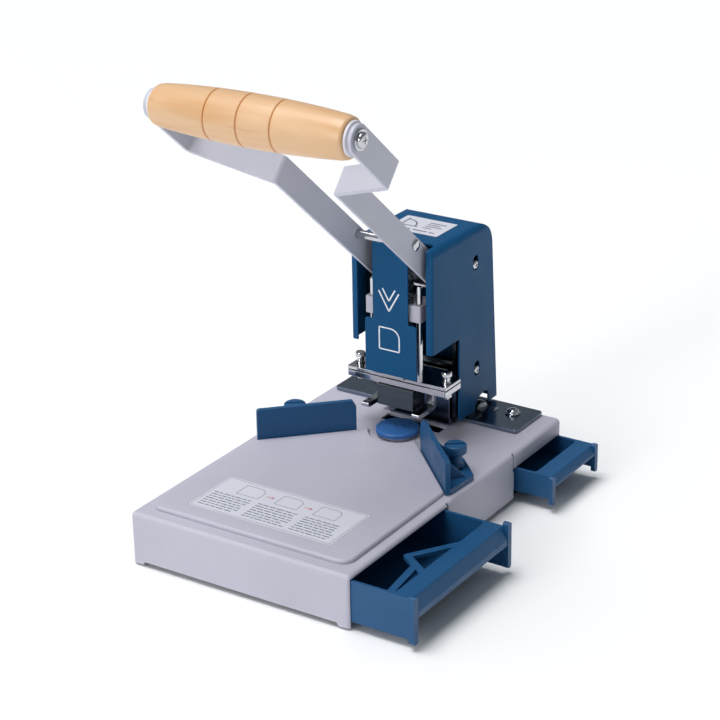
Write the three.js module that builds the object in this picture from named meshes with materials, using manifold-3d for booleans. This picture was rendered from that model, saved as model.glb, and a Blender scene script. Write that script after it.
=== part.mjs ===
// Desktop corner-rounding punch: a folded steel base with two drawers, a raised work table with
// two 45 degree fences, and a tower whose lever handle drives a corner knife down on a plastic disc.
// Millimetres, +Z up. X runs along the grip, Y from the front of the base to the tower.
import * as THREE from 'three';
import { mergeVertices } from 'three/addons/utils/BufferGeometryUtils.js';
import Module from 'manifold-3d';

const wasm = await Module();
wasm.setup();

// ---------------------------------------------------------------- driving dimensions
const GAP = 0.2;                 // air between pieces that touch
const CURVE = 2;                 // half the segments in each small rounded corner

const BASE = {                   // folded sheet-steel housing
  half: 85, depth: 273, low: 1.5, deck: 38, sheet: 1.5, bend: 3, tab: 9, tabDrop: 2.2,
};
const FOOT = { radius: 7, height: 2.4, inX: 70, front: 15, back: 258 };
const FLOOR = { low: 2.6, high: 3.8, x: [-83, 82.8], y: [1.8, 271.2] };
const PARTITIONS = [118.2, 205.4];       // y of each cross wall under the deck
const BAYS = { frontEnd: 117, frontTop: 35.5, rearStart: 205, rearTop: 26.5 };   // drawer openings

const TABLE = { half: 77, front: 10.5, top: 41, edge: 1.6, corner: 7, ring: 20 };
const TABLE_LABEL = { x: [-56, 55], y: [24, 71.5], sheet: 0.25, margin: 0.2 };   // lies flush in the table
const APEX_Y = 203.4;            // the fences' inner faces would meet here
const DISC = { y: 191.4, radius: 15.4, low: 40.1, high: 43.5, edge: 1.2, bore: 3.2 };
const OPENING = { half: 24, front: 207, back: 217.7 };   // offcuts fall through it into the rear drawer

const FENCE = {
  thick: 3.6, top: 62.5, foot: 4, inner: 35.5, outer: -34.5, reach: 24.2, slot: 5.8, slotHalf: 8.4,
  leftShift: 5, webs: [-19, 16.6], web: 2.4, webHigh: 19,
};
const KNOB = { out: 15.7, x: 65, y: 160.6, head: 7.75, neck: 4.7, under: 52, top: 58.5, stud: 2 };

const FRONT_DRAWER = {
  near: 2.1, far: 114.5, low: 6, high: 34.5, back: -2, wall: 117.4, ledge: 128,
  lip: 132, lipTop: 25.7, lipLow: 21.4, flange: 4.4, flangeLow: 4.6, flangeHigh: 37,
  flareNear: 3.2, flareFar: 3.2,
};
const REAR_DRAWER = {
  near: 207.6, far: 270, low: 8.8, high: 25.8, back: -39, wall: 102, ledge: 112.4,
  lip: 115.2, lipTop: 20.4, lipLow: 18.4, flange: 4.2, flangeLow: 5.8, flangeHigh: 26.8,
  flareNear: 3.2, flareFar: 0.8,
};
const DRAWER_WALL = 2;
const RACK = {
  beam: 5, thick: 2.5, tip: [95.6, 50.5], farY: 83.8, nearY: 35.5, stay: [106.3, 42.4], foot: 111.3,
};

const TOWER_BASE = { left: -79, right: 71.5, front: 232, back: 271, high: 41, corner: 2 };
const BASE_BOLTS = [-55.2, -28.4, 28.4, 55.2];
const BASE_BOLT_Y = 256.4;
const BASE_BOLT = { shank: 3, radius: 5.3, rim: 0.8, crown: 3 };
const BASE_SCREW = [40.9, 256.3];

const COVER = {
  half: 32.5, sheet: 1.2, front: 185, low: 43.5, top: 180.5, topBack: 246, curve: 18,
  foot: 273.2, flange: 5, side: 5, mouth: 197, cutBack: 221, cutTop: 105.5,
};
const COVER_SCREWS = [[242.5, 153], [244.7, 73.7]];      // y, z
const KEYHOLE = { half: 3.6, below: 4, above: 7, round: 3.5 };
const BOLT_ARCH = { front: 243, back: 261.5, shoulder: 48, crown: 54 };   // clears the inner base bolts
const TOWER_LABEL = { x: [-20, 20], y: [211, 239.5], sheet: 0.2 };

const FRAME = { in: 26, out: 29, front: 200, frontLow: 222, back: 261, low: 41.2, top: 170 };
const PIVOT = { y: 214, z: 148.7, shaft: 4 };
const COLUMN = { half: 24.6, front: 220.3, back: 231.7, top: 67.5 };
const GUIDE = { half: 22, front: 186.5, back: 206, low: 126.5, high: 138.5 };

const TRAVEL = 12;               // stroke of the press slide
const SWING = 36;                // degrees of handle swing that give this stroke
const SLIDE = { half: 9, front: 184.8, back: 200, low: 82, top: 177.8 };
const FACE_PLATE = {
  y: 183.4, sheet: 1.2, narrow: 14, wide: 20.5, low: 85, shoulder: 124.5, top: 181.3, lip: 9,
};
const ROD = { x: 18.6, y: 191, radius: 2.2, top: 151.5 };
const PLATES = { half: 40, front: 189.6, back: 210.5, lowZ: 74.5, split: 78.8, gap: 0.5, highZ: 81.8 };
const PLATE_BOLT = { x: 35, y: 199.3, shank: 2, head: 3.6, top: 90 };
const PUNCH = { half: 14.5, front: 188, back: 204, low: 59, knifeLow: DISC.high + TRAVEL + 0.3 };
const KNIFE = { arc: 10, centre: APEX_Y - 10 * Math.SQRT2, thick: 4, tail: 3 };   // 10 mm corner
const CLAMP = { x: 20.4, half: 2.8, tip: 181.5, back: 205, low: 57.2, sheet: 3.4 };
const SPRING = {                 // stands on the guide block, under the face plate's bent top
  x: 12, y: 189.4, radius: 2.1, wire: 0.45, turns: 9, low: GUIDE.high + GAP, high: 179.9,
};

const ARM = {
  angle: 41, width: 19, sheet: 2.5, inner: 23.8, outer: 75.4, jogLow: 161, jogHigh: 190, grip: 238,
  bend: 3, tail: 9.5,
};
const CROSS_ROD = { s: 51.5, lift: 4.5, radius: 3, head: 4 };
const GRIP = { half: 70.2, belly: 16.5, end: 13.2, bore: 4.4, cap: 10.9, grooves: [-25.7, -1.5, 22.7] };

// ---------------------------------------------------------------- solids from three.js shapes
function solid(geometry) {
  const flat = geometry.index ? geometry.toNonIndexed() : geometry.clone();
  flat.deleteAttribute('normal');
  flat.deleteAttribute('uv');
  const merged = mergeVertices(flat, 1e-4);
  const place = merged.attributes.position;
  const index = Array.from(merged.index.array);
  const kept = [];
  let volume = 0;
  for (let i = 0; i < index.length; i += 3) {
    const [a, b, c] = index.slice(i, i + 3);
    if (a === b || b === c || a === c) continue;
    kept.push(a, b, c);
    const [p, q, r] = [a, b, c].map((n) => new THREE.Vector3().fromBufferAttribute(place, n));
    volume += p.dot(q.cross(r));
  }
  if (volume < 0) {
    for (let i = 0; i < kept.length; i += 3) [kept[i], kept[i + 1]] = [kept[i + 1], kept[i]];
  }
  return new wasm.Manifold(new wasm.Mesh({
    numProp: 3,
    vertProperties: new Float32Array(place.array),
    triVerts: new Uint32Array(kept),
  }));
}

function geometryOf(manifold) {
  const mesh = manifold.getMesh();
  const geometry = new THREE.BufferGeometry();
  geometry.setAttribute('position', new THREE.BufferAttribute(mesh.vertProperties, 3));
  geometry.setIndex(new THREE.BufferAttribute(mesh.triVerts, 1));
  geometry.computeVertexNormals();
  return geometry;
}

function block(x, y, z) {
  const geometry = new THREE.BoxGeometry(x[1] - x[0], y[1] - y[0], z[1] - z[0]);
  geometry.translate((x[0] + x[1]) / 2, (y[0] + y[1]) / 2, (z[0] + z[1]) / 2);
  return solid(geometry);
}

// a closed outline of [u, v, radius] corners, each rounded by its own radius
function outline(corners) {
  const shape = new THREE.Shape();
  corners.forEach(([u, v, radius = 0], i) => {
    const here = new THREE.Vector2(u, v);
    const before = new THREE.Vector2(...corners.at(i - 1).slice(0, 2));
    const after = new THREE.Vector2(...corners[(i + 1) % corners.length].slice(0, 2));
    const back = before.sub(here).normalize();
    const ahead = after.sub(here).normalize();
    const half = Math.acos(THREE.MathUtils.clamp(back.dot(ahead), -1, 1)) / 2;
    const run = radius / Math.tan(half);
    const start = here.clone().addScaledVector(back, run);
    const end = here.clone().addScaledVector(ahead, run);
    if (i === 0) shape.moveTo(start.x, start.y);
    else shape.lineTo(start.x, start.y);
    if (radius === 0) return;
    const centre = here.clone().addScaledVector(
      back.clone().add(ahead).normalize(), radius / Math.sin(half));
    const from = start.clone().sub(centre).angle();
    const to = end.clone().sub(centre).angle();
    const turn = THREE.MathUtils.euclideanModulo(to - from, 2 * Math.PI);
    shape.absarc(centre.x, centre.y, radius, from, to, turn > Math.PI);
  });
  shape.closePath();
  return shape;
}

function rectangle([u0, u1], [v0, v1], radius = 0) {
  return outline([[u0, v0, radius], [u1, v0, radius], [u1, v1, radius], [u0, v1, radius]]);
}

const ALONG = {                  // sketch axes and pull direction of a prism
  z: new THREE.Matrix4(),
  x: new THREE.Matrix4().makeBasis(
    new THREE.Vector3(0, 1, 0), new THREE.Vector3(0, 0, 1), new THREE.Vector3(1, 0, 0)),
  y: new THREE.Matrix4().makeBasis(
    new THREE.Vector3(1, 0, 0), new THREE.Vector3(0, 0, 1), new THREE.Vector3(0, -1, 0)),
};

// pulls an outline from one position to another
// an x prism takes a (y, z) sketch, a y prism (x, z) and a z prism (x, y)
function prism(axis, shape, from, to, curve = CURVE) {
  const geometry = new THREE.ExtrudeGeometry(shape, {
    depth: to - from, bevelEnabled: false, curveSegments: curve,
  });
  geometry.translate(0, 0, axis === 'y' ? -to : from);
  geometry.applyMatrix4(ALONG[axis]);
  return solid(geometry);
}

// a round bar along an axis, centred at the two other coordinates
function bar(axis, radius, from, to, [p, q], sides = 16) {
  const geometry = new THREE.CylinderGeometry(radius, radius, to - from, sides);
  geometry.rotateX(Math.PI / 2);
  geometry.translate(p, q, axis === 'y' ? -(from + to) / 2 : (from + to) / 2);
  geometry.applyMatrix4(ALONG[axis]);
  return solid(geometry);
}

// a turned piece: [radius, height] profile spun about Z
function turned(profile, sides = 24) {
  const geometry = new THREE.LatheGeometry(profile.map(([r, h]) => new THREE.Vector2(r, h)), sides);
  geometry.rotateX(Math.PI / 2);
  return solid(geometry);
}

const grown = ([low, high], by) => [low - by, high + by];
const aside = (piece, x, y, z) => piece.translate([x, y, z]);
const layAlongX = (piece) => piece.rotate([0, 90, 0]);
const mirrored = (piece) => piece.mirror([1, 0, 0]);
const join = (...pieces) => pieces.reduce((whole, piece) => whole.add(piece));
const cut = (whole, ...pieces) => pieces.reduce((rest, piece) => rest.subtract(piece), whole);

// ---------------------------------------------------------------- materials
const paint = (color, roughness, metalness) => ({ color, roughness, metalness });
const FINISH = {
  lavender: paint(0xb4b2c6, 0.45, 0.1),
  blue: paint(0x2c5c92, 0.5, 0.05),
  plastic: paint(0x23527f, 0.45, 0),
  disc: paint(0x3566a8, 0.4, 0),
  grey: paint(0x8d97a6, 0.4, 0.3),
  chrome: paint(0xcfd2d6, 0.15, 1),
  steel: paint(0x8b8f95, 0.35, 1),
  dark: paint(0x2b3036, 0.35, 1),
  wood: paint(0xe2b57d, 0.5, 0),
  white: paint(0xe6e7ec, 0.4, 0),
  rubber: paint(0x1c1c1e, 0.9, 0),
};

const machine = new THREE.Group();
function add(name, finish, piece) {
  const mesh = new THREE.Mesh(geometryOf(piece), new THREE.MeshStandardMaterial(FINISH[finish]));
  mesh.name = name;
  machine.add(mesh);
}

// ---------------------------------------------------------------- base
// an open-bottomed box with bent top edges, shrunk on every side by the given inset
function foldedBox(inset, low) {
  const radius = BASE.bend - inset;
  const top = BASE.deck - inset;
  const cap = (u0, u1) => outline([[u0, low], [u1, low], [u1, top, radius], [u0, top, radius]]);
  const acrossX = cap(-BASE.half + inset, BASE.half - inset);
  const acrossY = cap(inset, BASE.depth - inset);
  return prism('y', acrossX, inset, BASE.depth - inset)
    .intersect(prism('x', acrossY, -BASE.half + inset, BASE.half - inset));
}

function baseHousing() {
  const { half, depth, low, sheet, tab, tabDrop, deck } = BASE;
  const wall = [half - sheet - 1, half + 1];
  const raised = [low - 1, low + tabDrop];
  const through = [deck - 3, deck + 1];
  const opening = [-OPENING.half, OPENING.half];
  return cut(
    foldedBox(0, low),
    foldedBox(sheet, low - 1),
    block([-half + tab, half - tab], [-1, depth + 1], raised),
    block([-half - 1, half + 1], [tab, depth - tab], raised),
    block(wall, [sheet, BAYS.frontEnd], [low - 1, BAYS.frontTop]),
    block(wall, [BAYS.rearStart, depth - sheet], [low - 1, BAYS.rearTop]),
    prism('z', rectangle(opening, [OPENING.front, OPENING.back], 1), ...through),
    bar('z', KNOB.stud + 0.4, ...through, [KNOB.x, KNOB.y]),
    bar('z', KNOB.stud + 0.4, ...through, [-KNOB.x, KNOB.y]),
    bar('z', DISC.bore + GAP, ...through, [0, DISC.y]),
  );
}

function tablePlate() {
  const { half, front, top, edge, corner, ring } = TABLE;
  const { x, y, sheet, margin } = TABLE_LABEL;
  const inset = half - edge;
  const shy = 0.5;               // keeps the 45 degree edges off the fences' faces
  const diagonal = (out) => APEX_Y - shy - edge * Math.SQRT2 - out;
  const sketch = outline([
    [-inset, front + edge, corner], [inset, front + edge, corner],
    [inset, diagonal(inset), 1], [0, diagonal(0), 1], [-inset, diagonal(inset), 1],
  ]);
  const geometry = new THREE.ExtrudeGeometry(sketch, {
    depth: top - BASE.deck, bevelEnabled: true, bevelThickness: edge, bevelSize: edge,
    bevelSegments: 3, curveSegments: CURVE,
  });
  geometry.translate(0, 0, BASE.deck - edge);
  return cut(
    solid(geometry),
    block([-100, 100], [-10, 300], [BASE.deck - 10, BASE.deck + GAP]),
    bar('z', ring, BASE.deck - 3, top + 3, [0, DISC.y], 40),
    block(grown(x, margin), grown(y, margin), [top - sheet - 0.1, top + 1]),
  );
}

function cuttingDisc() {
  const { radius, low, high, edge, bore } = DISC;
  return aside(turned([
    [bore, low], [radius - 0.6, low], [radius, low + 0.8], [radius, high - edge],
    [radius - edge * 0.3, high - edge * 0.3], [radius - edge, high], [1.6, high], [0.8, high - 0.5],
    [0, high - 0.6], [0, high - 2], [bore, high - 2], [bore, low],
  ], 32), 0, DISC.y, 0);
}

// the steel disc under the plastic one, with the pin that both turn on
function discAnvil() {
  const { bore, low, high, radius } = DISC;
  const pin = bore - 0.3;
  return aside(turned([
    [0, BASE.deck - 5], [pin, BASE.deck - 5], [pin, BASE.deck + GAP], [radius - 2, BASE.deck + GAP],
    [radius - 2, low - GAP], [pin, low - GAP], [pin, high - 2.4], [0, high - 2.4],
  ], 24), 0, DISC.y, 0);
}

function partition(y) {
  const side = BASE.half - BASE.sheet - GAP;
  const low = FLOOR.high + GAP;
  const top = BASE.deck - BASE.sheet - GAP;
  return prism('y', outline([[-side, low], [side, low], [side, top, 2], [-side, top, 2]]), y, y + 1.5);
}

add('base_housing', 'lavender', baseHousing());
add('table_plate', 'lavender', tablePlate());
add('bottom_plate', 'steel', block(FLOOR.x, FLOOR.y, [FLOOR.low, FLOOR.high]));
let footNumber = 0;
for (const x of [-FOOT.inX, FOOT.inX]) {
  for (const y of [FOOT.front, FOOT.back]) {
    footNumber += 1;
    add(`rubber_foot_${footNumber}`, 'rubber', aside(turned([
      [0, 0], [FOOT.radius - 0.8, 0], [FOOT.radius, 0.8], [FOOT.radius, FOOT.height], [0, FOOT.height],
    ], 20), x, y, 0));
  }
}
add('front_partition', 'steel', partition(PARTITIONS[0]));
add('rear_partition', 'steel', partition(PARTITIONS[1]));
add('disc_anvil', 'steel', discAnvil());
add('cutting_disc', 'disc', cuttingDisc());
add('table_label', 'white', block(TABLE_LABEL.x, TABLE_LABEL.y, [TABLE.top - TABLE_LABEL.sheet, TABLE.top]));

// ---------------------------------------------------------------- drawers
function drawer(d) {
  const wall = DRAWER_WALL;
  const inside = [d.near + wall, d.far - wall];
  const tray = cut(
    block([d.back, d.ledge - 1], [d.near, d.far], [d.low, d.high]),
    block([d.back + wall, d.wall - wall], inside, [d.low + wall, d.high + 1]),
    block([d.wall, d.ledge], inside, [d.low - 1, d.high - wall]),
  );
  const apron = prism('x', rectangle(inside, [d.low, d.high]), d.ledge - 3, d.lip)
    .intersect(prism('y', outline([
      [d.ledge - 3, d.high - wall], [d.ledge - 3, d.high], [d.ledge, d.high, 0.8], [d.lip, d.lipTop],
      [d.lip, d.lipLow], [d.lip - wall, d.lipLow], [d.lip - wall, d.lipTop],
      [d.ledge - wall * 0.8, d.high - wall],
    ]), d.near - 5, d.far + 5));
  const end = (y) => prism(
    'x', rectangle([y, y + d.flange], [d.flangeLow, d.flangeHigh], 1), d.ledge, d.lip + 0.3);
  const cheek = (y) => block([d.ledge - 3, d.ledge + 1], [y, y + wall], [d.low, d.high]);
  const runner = (y) => block([d.back, d.wall - 8], [y, y + wall], [FLOOR.high + GAP, d.low + 0.5]);
  return join(
    tray, apron, cheek(d.near), cheek(d.far - wall), runner(d.near + 8), runner(d.far - 10),
    end(d.near - d.flareNear), end(d.far + d.flareFar - d.flange),
  );
}

// a flat three-cornered frame moulded behind the ledge of the front drawer, for spare knife sets
function spareRack(d) {
  const { beam, thick, tip, farY, nearY, stay, foot } = RACK;
  const high = d.high - 1.5;
  const far = [d.wall - 0.5, farY];
  const near = [d.wall - 0.5, nearY];
  const bars = [[tip, far], [tip, near], [stay, [foot, d.near + 1]]].map(([p, q]) => {
    const along = new THREE.Vector2(q[0] - p[0], q[1] - p[1]);
    const side = new THREE.Vector2(-along.y, along.x).normalize().multiplyScalar(beam / 2);
    return prism('z', outline([
      [p[0] + side.x, p[1] + side.y], [q[0] + side.x, q[1] + side.y],
      [q[0] - side.x, q[1] - side.y], [p[0] - side.x, p[1] - side.y],
    ]), high - thick, high);
  });
  const knuckle = bar('z', beam / 2, high - thick, high, tip, 16);
  return join(...bars, knuckle).intersect(block([0, d.wall - 0.2], [0, 110], [0, 50]));
}

add('front_drawer', 'plastic', join(drawer(FRONT_DRAWER), spareRack(FRONT_DRAWER)));
add('rear_drawer', 'plastic', drawer(REAR_DRAWER));

// ---------------------------------------------------------------- fences and their clamp knobs
// sketched with u towards the apex and w away from the paper, then turned on the deck
function fence() {
  const { thick, top, foot, inner, outer, reach, slot, slotHalf, web, webHigh } = FENCE;
  const low = BASE.deck + GAP;
  const wall = prism('y', outline([
    [outer, low], [outer, top, 1.5], [inner - 2.5, top, 1], [inner, top - 5, 1], [inner, low],
  ]), 0, thick);
  const sole = prism('z', outline([
    [outer, 0.5], [outer, thick], [-16, reach, 2.5], [10.6, reach, 3], [27, thick], [27, 0.5],
  ]), low, low + foot);
  const stiffener = (u) => prism('x', outline([
    [thick - 1, low + 1], [17, low + 1], [17, low + foot + 0.4], [thick - 1, low + webHigh],
  ]), u, u + web);
  const travelSlot = prism('z', rectangle(
    [-slotHalf, slotHalf], [KNOB.out - slot / 2, KNOB.out + slot / 2], slot / 2 - 0.1), 0, 60);
  return cut(join(wall, sole, ...FENCE.webs.map(stiffener)), travelSlot);
}

// the fence on the left, slid towards the apex by the given distance
function leftFence(slid) {
  const reach = Math.SQRT1_2 * KNOB.out;
  const along = Math.SQRT1_2 * slid;
  return fence().rotate([0, 0, 45]).translate([-KNOB.x + reach + along, KNOB.y - reach + along, 0]);
}

function knob() {
  const { head, neck, under, top, stud } = KNOB;
  const seat = BASE.deck + GAP + FENCE.foot + GAP;
  return turned([
    [0, BASE.deck - 5], [stud, BASE.deck - 5], [stud, seat], [neck + 1.4, seat], [neck, seat + 2],
    [neck, under - 1], [head - 0.8, under], [head, under + 1], [head, top - 1.2],
    [head - 0.4, top - 0.4], [head - 1.4, top], [0, top],
  ]);
}

add('left_fence', 'plastic', leftFence(FENCE.leftShift));
add('right_fence', 'plastic', mirrored(leftFence(0)));
add('left_knob', 'plastic', aside(knob(), -KNOB.x, KNOB.y, 0));
add('right_knob', 'plastic', aside(knob(), KNOB.x, KNOB.y, 0));

// ---------------------------------------------------------------- tower
function towerBasePlate() {
  const { left, right, front, back, high, corner } = TOWER_BASE;
  const holes = BASE_BOLTS.map((x) => bar('z', 3.3, BASE.deck, high + 1, [x, BASE_BOLT_Y]));
  holes.push(bar('z', 1.5, BASE.deck, high + 1, BASE_SCREW));
  const plate = prism('z', rectangle([left, right], [front, back], corner), BASE.deck + GAP, high);
  return cut(plate, ...holes);
}

function domeBolt() {
  const { shank, radius, rim, crown } = BASE_BOLT;
  const seat = TOWER_BASE.high + GAP;
  const foot = BASE.deck + 1;
  const dome = [0, 30, 60, 90].map((degrees) => {
    const turn = THREE.MathUtils.degToRad(degrees);
    return [radius * Math.cos(turn), seat + rim + crown * Math.sin(turn)];
  });
  return turned([[0, foot], [shank, foot], [shank, seat], [radius, seat], ...dome], 16);
}

function coverProfile(inset) {
  const { front, low, top, topBack, curve, foot } = COVER;
  const lift = inset > 0 ? 5 : 0;
  return outline([
    [front + inset, low - lift], [front + inset, top - inset, 3 - inset],
    [topBack + curve - inset, top - inset, curve - inset], [foot - inset, low - lift],
  ]);
}

function coverSection(inset) {
  const { half, low, top, side } = COVER;
  const wide = half - inset;
  const lift = inset > 0 ? 5 : 0;
  return outline([
    [-wide, low - lift], [wide, low - lift],
    [wide, top - inset, side - inset], [-wide, top - inset, side - inset],
  ]);
}

function towerCover() {
  const { half, sheet, front, low, top, flange, mouth, cutBack, cutTop } = COVER;
  const across = [-half - 10, half + 10];
  const hull = (inset) => prism('y', coverSection(inset), front - 10, COVER.foot + 10)
    .intersect(prism('x', coverProfile(inset), ...across));
  const keyholes = COVER_SCREWS.map(([y, z]) => prism('x', rectangle(
    [y - KEYHOLE.half, y + KEYHOLE.half], [z - KEYHOLE.below, z + KEYHOLE.above], KEYHOLE.round,
  ), ...across));
  const arch = BOLT_ARCH;
  const boltArch = prism('x', outline([
    [arch.front, low - 5], [arch.back, low - 5],
    [arch.back, arch.crown - 3, 2], [arch.back - 4.5, arch.crown, 2],
    [arch.front + 4, arch.crown - 2, 2], [arch.front, arch.shoulder, 2],
  ]), ...across);
  return cut(
    hull(0), hull(sheet),
    block([-half + flange, half - flange], [front - 5, front + 5], [low - 5, top - sheet - 1]),
    prism('z', rectangle([-half + flange, half - flange], [front - 5, mouth], 3), top - 8, top + 5),
    block([-half - 5, half + 5], [front - 5, cutBack], [low - 5, cutTop]),
    ...keyholes, boltArch,
  );
}

function framePlate() {
  const { in: near, out, front, frontLow, back, low, top } = FRAME;
  const sketch = outline([
    [frontLow, low], [249, low], [249, 50, 2], [back, 50], [back, 160, 6], [243, top, 4],
    [front, top, 4], [front, 107, 2], [frontLow, 107, 2],
  ]);
  const bores = [bar('x', PIVOT.shaft + GAP, near - 1, out + 1, [PIVOT.y, PIVOT.z])];
  return cut(prism('x', sketch, near, out), ...bores);
}

function guideBlock() {
  const { half, front, back, low, high } = GUIDE;
  const wings = block([-FRAME.in + GAP, FRAME.in - GAP], [FRAME.front + 0.5, back], [low, high]);
  const free = 0.3;              // running clearance round the slide block
  const slot = block(
    [-SLIDE.half - free, SLIDE.half + free], [front - 1, SLIDE.back + free], [low - 1, high + 1]);
  const bores = [-ROD.x, ROD.x].map((x) => bar('z', ROD.radius + 0.25, low - 1, high + 1, [x, ROD.y]));
  return cut(join(block([-half, half], [front, back], [low, high]), wings), slot, ...bores);
}

function pivotShaft() {
  const { shaft, y, z } = PIVOT;
  const clip = [FRAME.out + GAP, FRAME.out + 1.4];
  return join(
    bar('x', shaft, -30.9, 30.9, [y, z]),
    bar('x', 6, clip[0], clip[1], [y, z]), bar('x', 6, -clip[1], -clip[0], [y, z]),
  );
}

function coverScrew(y, z) {
  return join(bar('x', 3.1, 30, 33.2, [y, z], 20), bar('x', 1.6, FRAME.out + GAP, 31, [y, z], 16));
}

class Coil extends THREE.Curve {
  constructor(radius, turns, low, high) {
    super();
    Object.assign(this, { radius, turns, low, high });
  }

  getPoint(t) {
    const turn = 2 * Math.PI * this.turns * t;
    const height = THREE.MathUtils.lerp(this.low, this.high, t);
    return new THREE.Vector3(this.radius * Math.cos(turn), this.radius * Math.sin(turn), height);
  }
}

function returnSpring() {
  const { radius, wire, turns, low, high } = SPRING;
  const section = new THREE.Shape().absarc(0, 0, wire, 0, 2 * Math.PI);
  const geometry = new THREE.ExtrudeGeometry(section, {
    steps: turns * 10, curveSegments: 3, extrudePath: new Coil(radius, turns, low + wire, high - wire),
  });
  return solid(geometry);
}

add('tower_base_plate', 'dark', towerBasePlate());
BASE_BOLTS.forEach((x, i) => add(`base_bolt_${i + 1}`, 'chrome', aside(domeBolt(), x, BASE_BOLT_Y, 0)));
add('base_screw', 'steel', aside(turned([
  [0, TOWER_BASE.high - 1], [1.2, TOWER_BASE.high - 1], [1.2, TOWER_BASE.high + GAP],
  [2.4, TOWER_BASE.high + GAP], [2, TOWER_BASE.high + 1.2], [0, TOWER_BASE.high + 1.4],
], 16), ...BASE_SCREW, 0));
add('tower_cover', 'blue', towerCover());
add('tower_label', 'white', block(
  TOWER_LABEL.x, TOWER_LABEL.y, [COVER.top + 0.1, COVER.top + 0.1 + TOWER_LABEL.sheet]));
let screwNumber = 0;
for (const [y, z] of COVER_SCREWS) {
  screwNumber += 1;
  add(`cover_screw_right_${screwNumber}`, 'chrome', coverScrew(y, z));
  add(`cover_screw_left_${screwNumber}`, 'chrome', mirrored(coverScrew(y, z)));
}
add('right_frame_plate', 'lavender', framePlate());
add('left_frame_plate', 'lavender', mirrored(framePlate()));
const SPACER = FRAME.in - GAP;
add('frame_spacer_top', 'dark', bar('x', 5, -SPACER, SPACER, COVER_SCREWS[0]));
add('frame_spacer_bottom', 'dark', bar('x', 5, -SPACER, SPACER, COVER_SCREWS[1]));
add('pivot_shaft', 'steel', pivotShaft());
add('guide_block', 'lavender', guideBlock());
add('die_column', 'dark', block(
  [-COLUMN.half, COLUMN.half], [COLUMN.front, COLUMN.back], [BASE.deck + GAP, COLUMN.top]));
add('return_spring_right', 'dark', aside(returnSpring(), SPRING.x, SPRING.y, 0));
add('return_spring_left', 'dark', aside(returnSpring(), -SPRING.x, SPRING.y, 0));

// ---------------------------------------------------------------- press slide
function facePlate() {
  const { y, sheet, narrow, wide, low, shoulder, top, lip } = FACE_PLATE;
  const front = outline([
    [-wide, low, 1], [wide, low, 1], [wide, shoulder, 2], [narrow, shoulder, 0.8], [narrow, top + 1],
    [-narrow, top + 1], [-narrow, shoulder, 0.8], [-wide, shoulder, 2],
  ]);
  const side = outline([
    [y, low - 1], [y + sheet, low - 1], [y + sheet, top - sheet, 2], [y + lip, top - sheet],
    [y + lip, top], [y, top, 3.4],
  ]);
  return prism('y', front, y - 1, y + 20).intersect(prism('x', side, -wide - 1, wide + 1));
}

// the rocker's nose runs in a cross groove at the back of the slide block
const ROCKER_REACH = TRAVEL / 2 / Math.sin(THREE.MathUtils.degToRad(SWING / 2));
const NOSE = {
  y: PIVOT.y - ROCKER_REACH * Math.cos(THREE.MathUtils.degToRad(SWING / 2)),
  z: PIVOT.z + TRAVEL / 2,
  radius: 3.6,
};

function slideBlock() {
  const { half, front, back, low, top } = SLIDE;
  const groove = NOSE.radius + 0.35;
  const swell = ROCKER_REACH - (PIVOT.y - NOSE.y);   // the nose's arc carries it this far forwards
  const crossGroove = block(
    [-half - 1, half + 1], [NOSE.y - groove - swell, back + 1], [NOSE.z - groove, NOSE.z + groove]);
  return cut(block([-half, half], [front, back], [low, top]), crossGroove);
}

function pressPlate(low, high) {
  const { half, front, back } = PLATES;
  const { x, y, shank } = PLATE_BOLT;
  const plate = prism('z', rectangle([-half, half], [front, back], 1.2), low, high);
  const holes = [-x, x].map((at) => bar('z', shank + GAP, low - 1, high + 1, [at, y]));
  return cut(plate, ...holes);
}

function plateBolt() {
  const { x, y, shank, head, top } = PLATE_BOLT;
  const nutHigh = 3.2;
  const tip = PLATES.lowZ - 5;
  const seat = PLATES.highZ + GAP;
  const nut = new THREE.CylinderGeometry(3.9, 3.9, nutHigh, 6).rotateX(Math.PI / 2);
  nut.translate(0, 0, PLATES.lowZ - GAP - nutHigh / 2);
  return aside(join(turned([
    [0, tip], [shank, tip], [shank, seat], [2.9, seat],
    [2.5, top - 4], [head, top - 3.6], [head, top - 0.5], [head - 0.5, top], [0, top],
  ], 16), solid(nut)), x, y, 0);
}

// the knife: a wall along the corner's arc and the two straight runs that leave it at 45 degrees
function cornerKnife() {
  const { arc, centre, thick, tail } = KNIFE;
  const wall = (inner, outer) => {
    const half = Math.PI / 4;
    const end = new THREE.Vector2(Math.SQRT1_2 * tail, -Math.SQRT1_2 * tail);
    const corner = (radius, side) => new THREE.Vector2(side, 1).multiplyScalar(Math.SQRT1_2 * radius);
    const shape = new THREE.Shape();
    const start = corner(outer, 1).add(end);
    shape.moveTo(start.x, start.y);
    shape.lineTo(corner(outer, 1).x, corner(outer, 1).y);
    shape.absarc(0, 0, outer, half, 3 * half, false);
    shape.lineTo(-start.x, start.y);
    const inside = corner(inner, -1).add(new THREE.Vector2(-end.x, end.y));
    shape.lineTo(inside.x, inside.y);
    shape.lineTo(corner(inner, -1).x, corner(inner, -1).y);
    shape.absarc(0, 0, inner, 3 * half, half, true);
    shape.lineTo(-inside.x, inside.y);
    return shape;
  };
  const edge = PUNCH.knifeLow;
  return aside(join(
    prism('z', wall(arc, arc + thick), edge + 2, PUNCH.low - GAP),
    prism('z', wall(arc, arc + 1), edge, edge + 2.5),
  ), 0, centre, 0);
}

function holdDown() {
  const { x, half, tip, back, low, sheet } = CLAMP;
  const top = PLATES.lowZ - GAP;
  const finger = prism('x', outline([
    [tip, low, 0.6], [back, low, 1], [back, top], [back - sheet, top],
    [back - sheet, low + sheet, 1], [tip, low + sheet, 0.6],
  ]), x - half, x + half);
  const bridge = block([-x - half, x + half], [back - 0.1, back + 4], [top - 2, top]);
  return join(finger, mirrored(finger), bridge);
}

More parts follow.
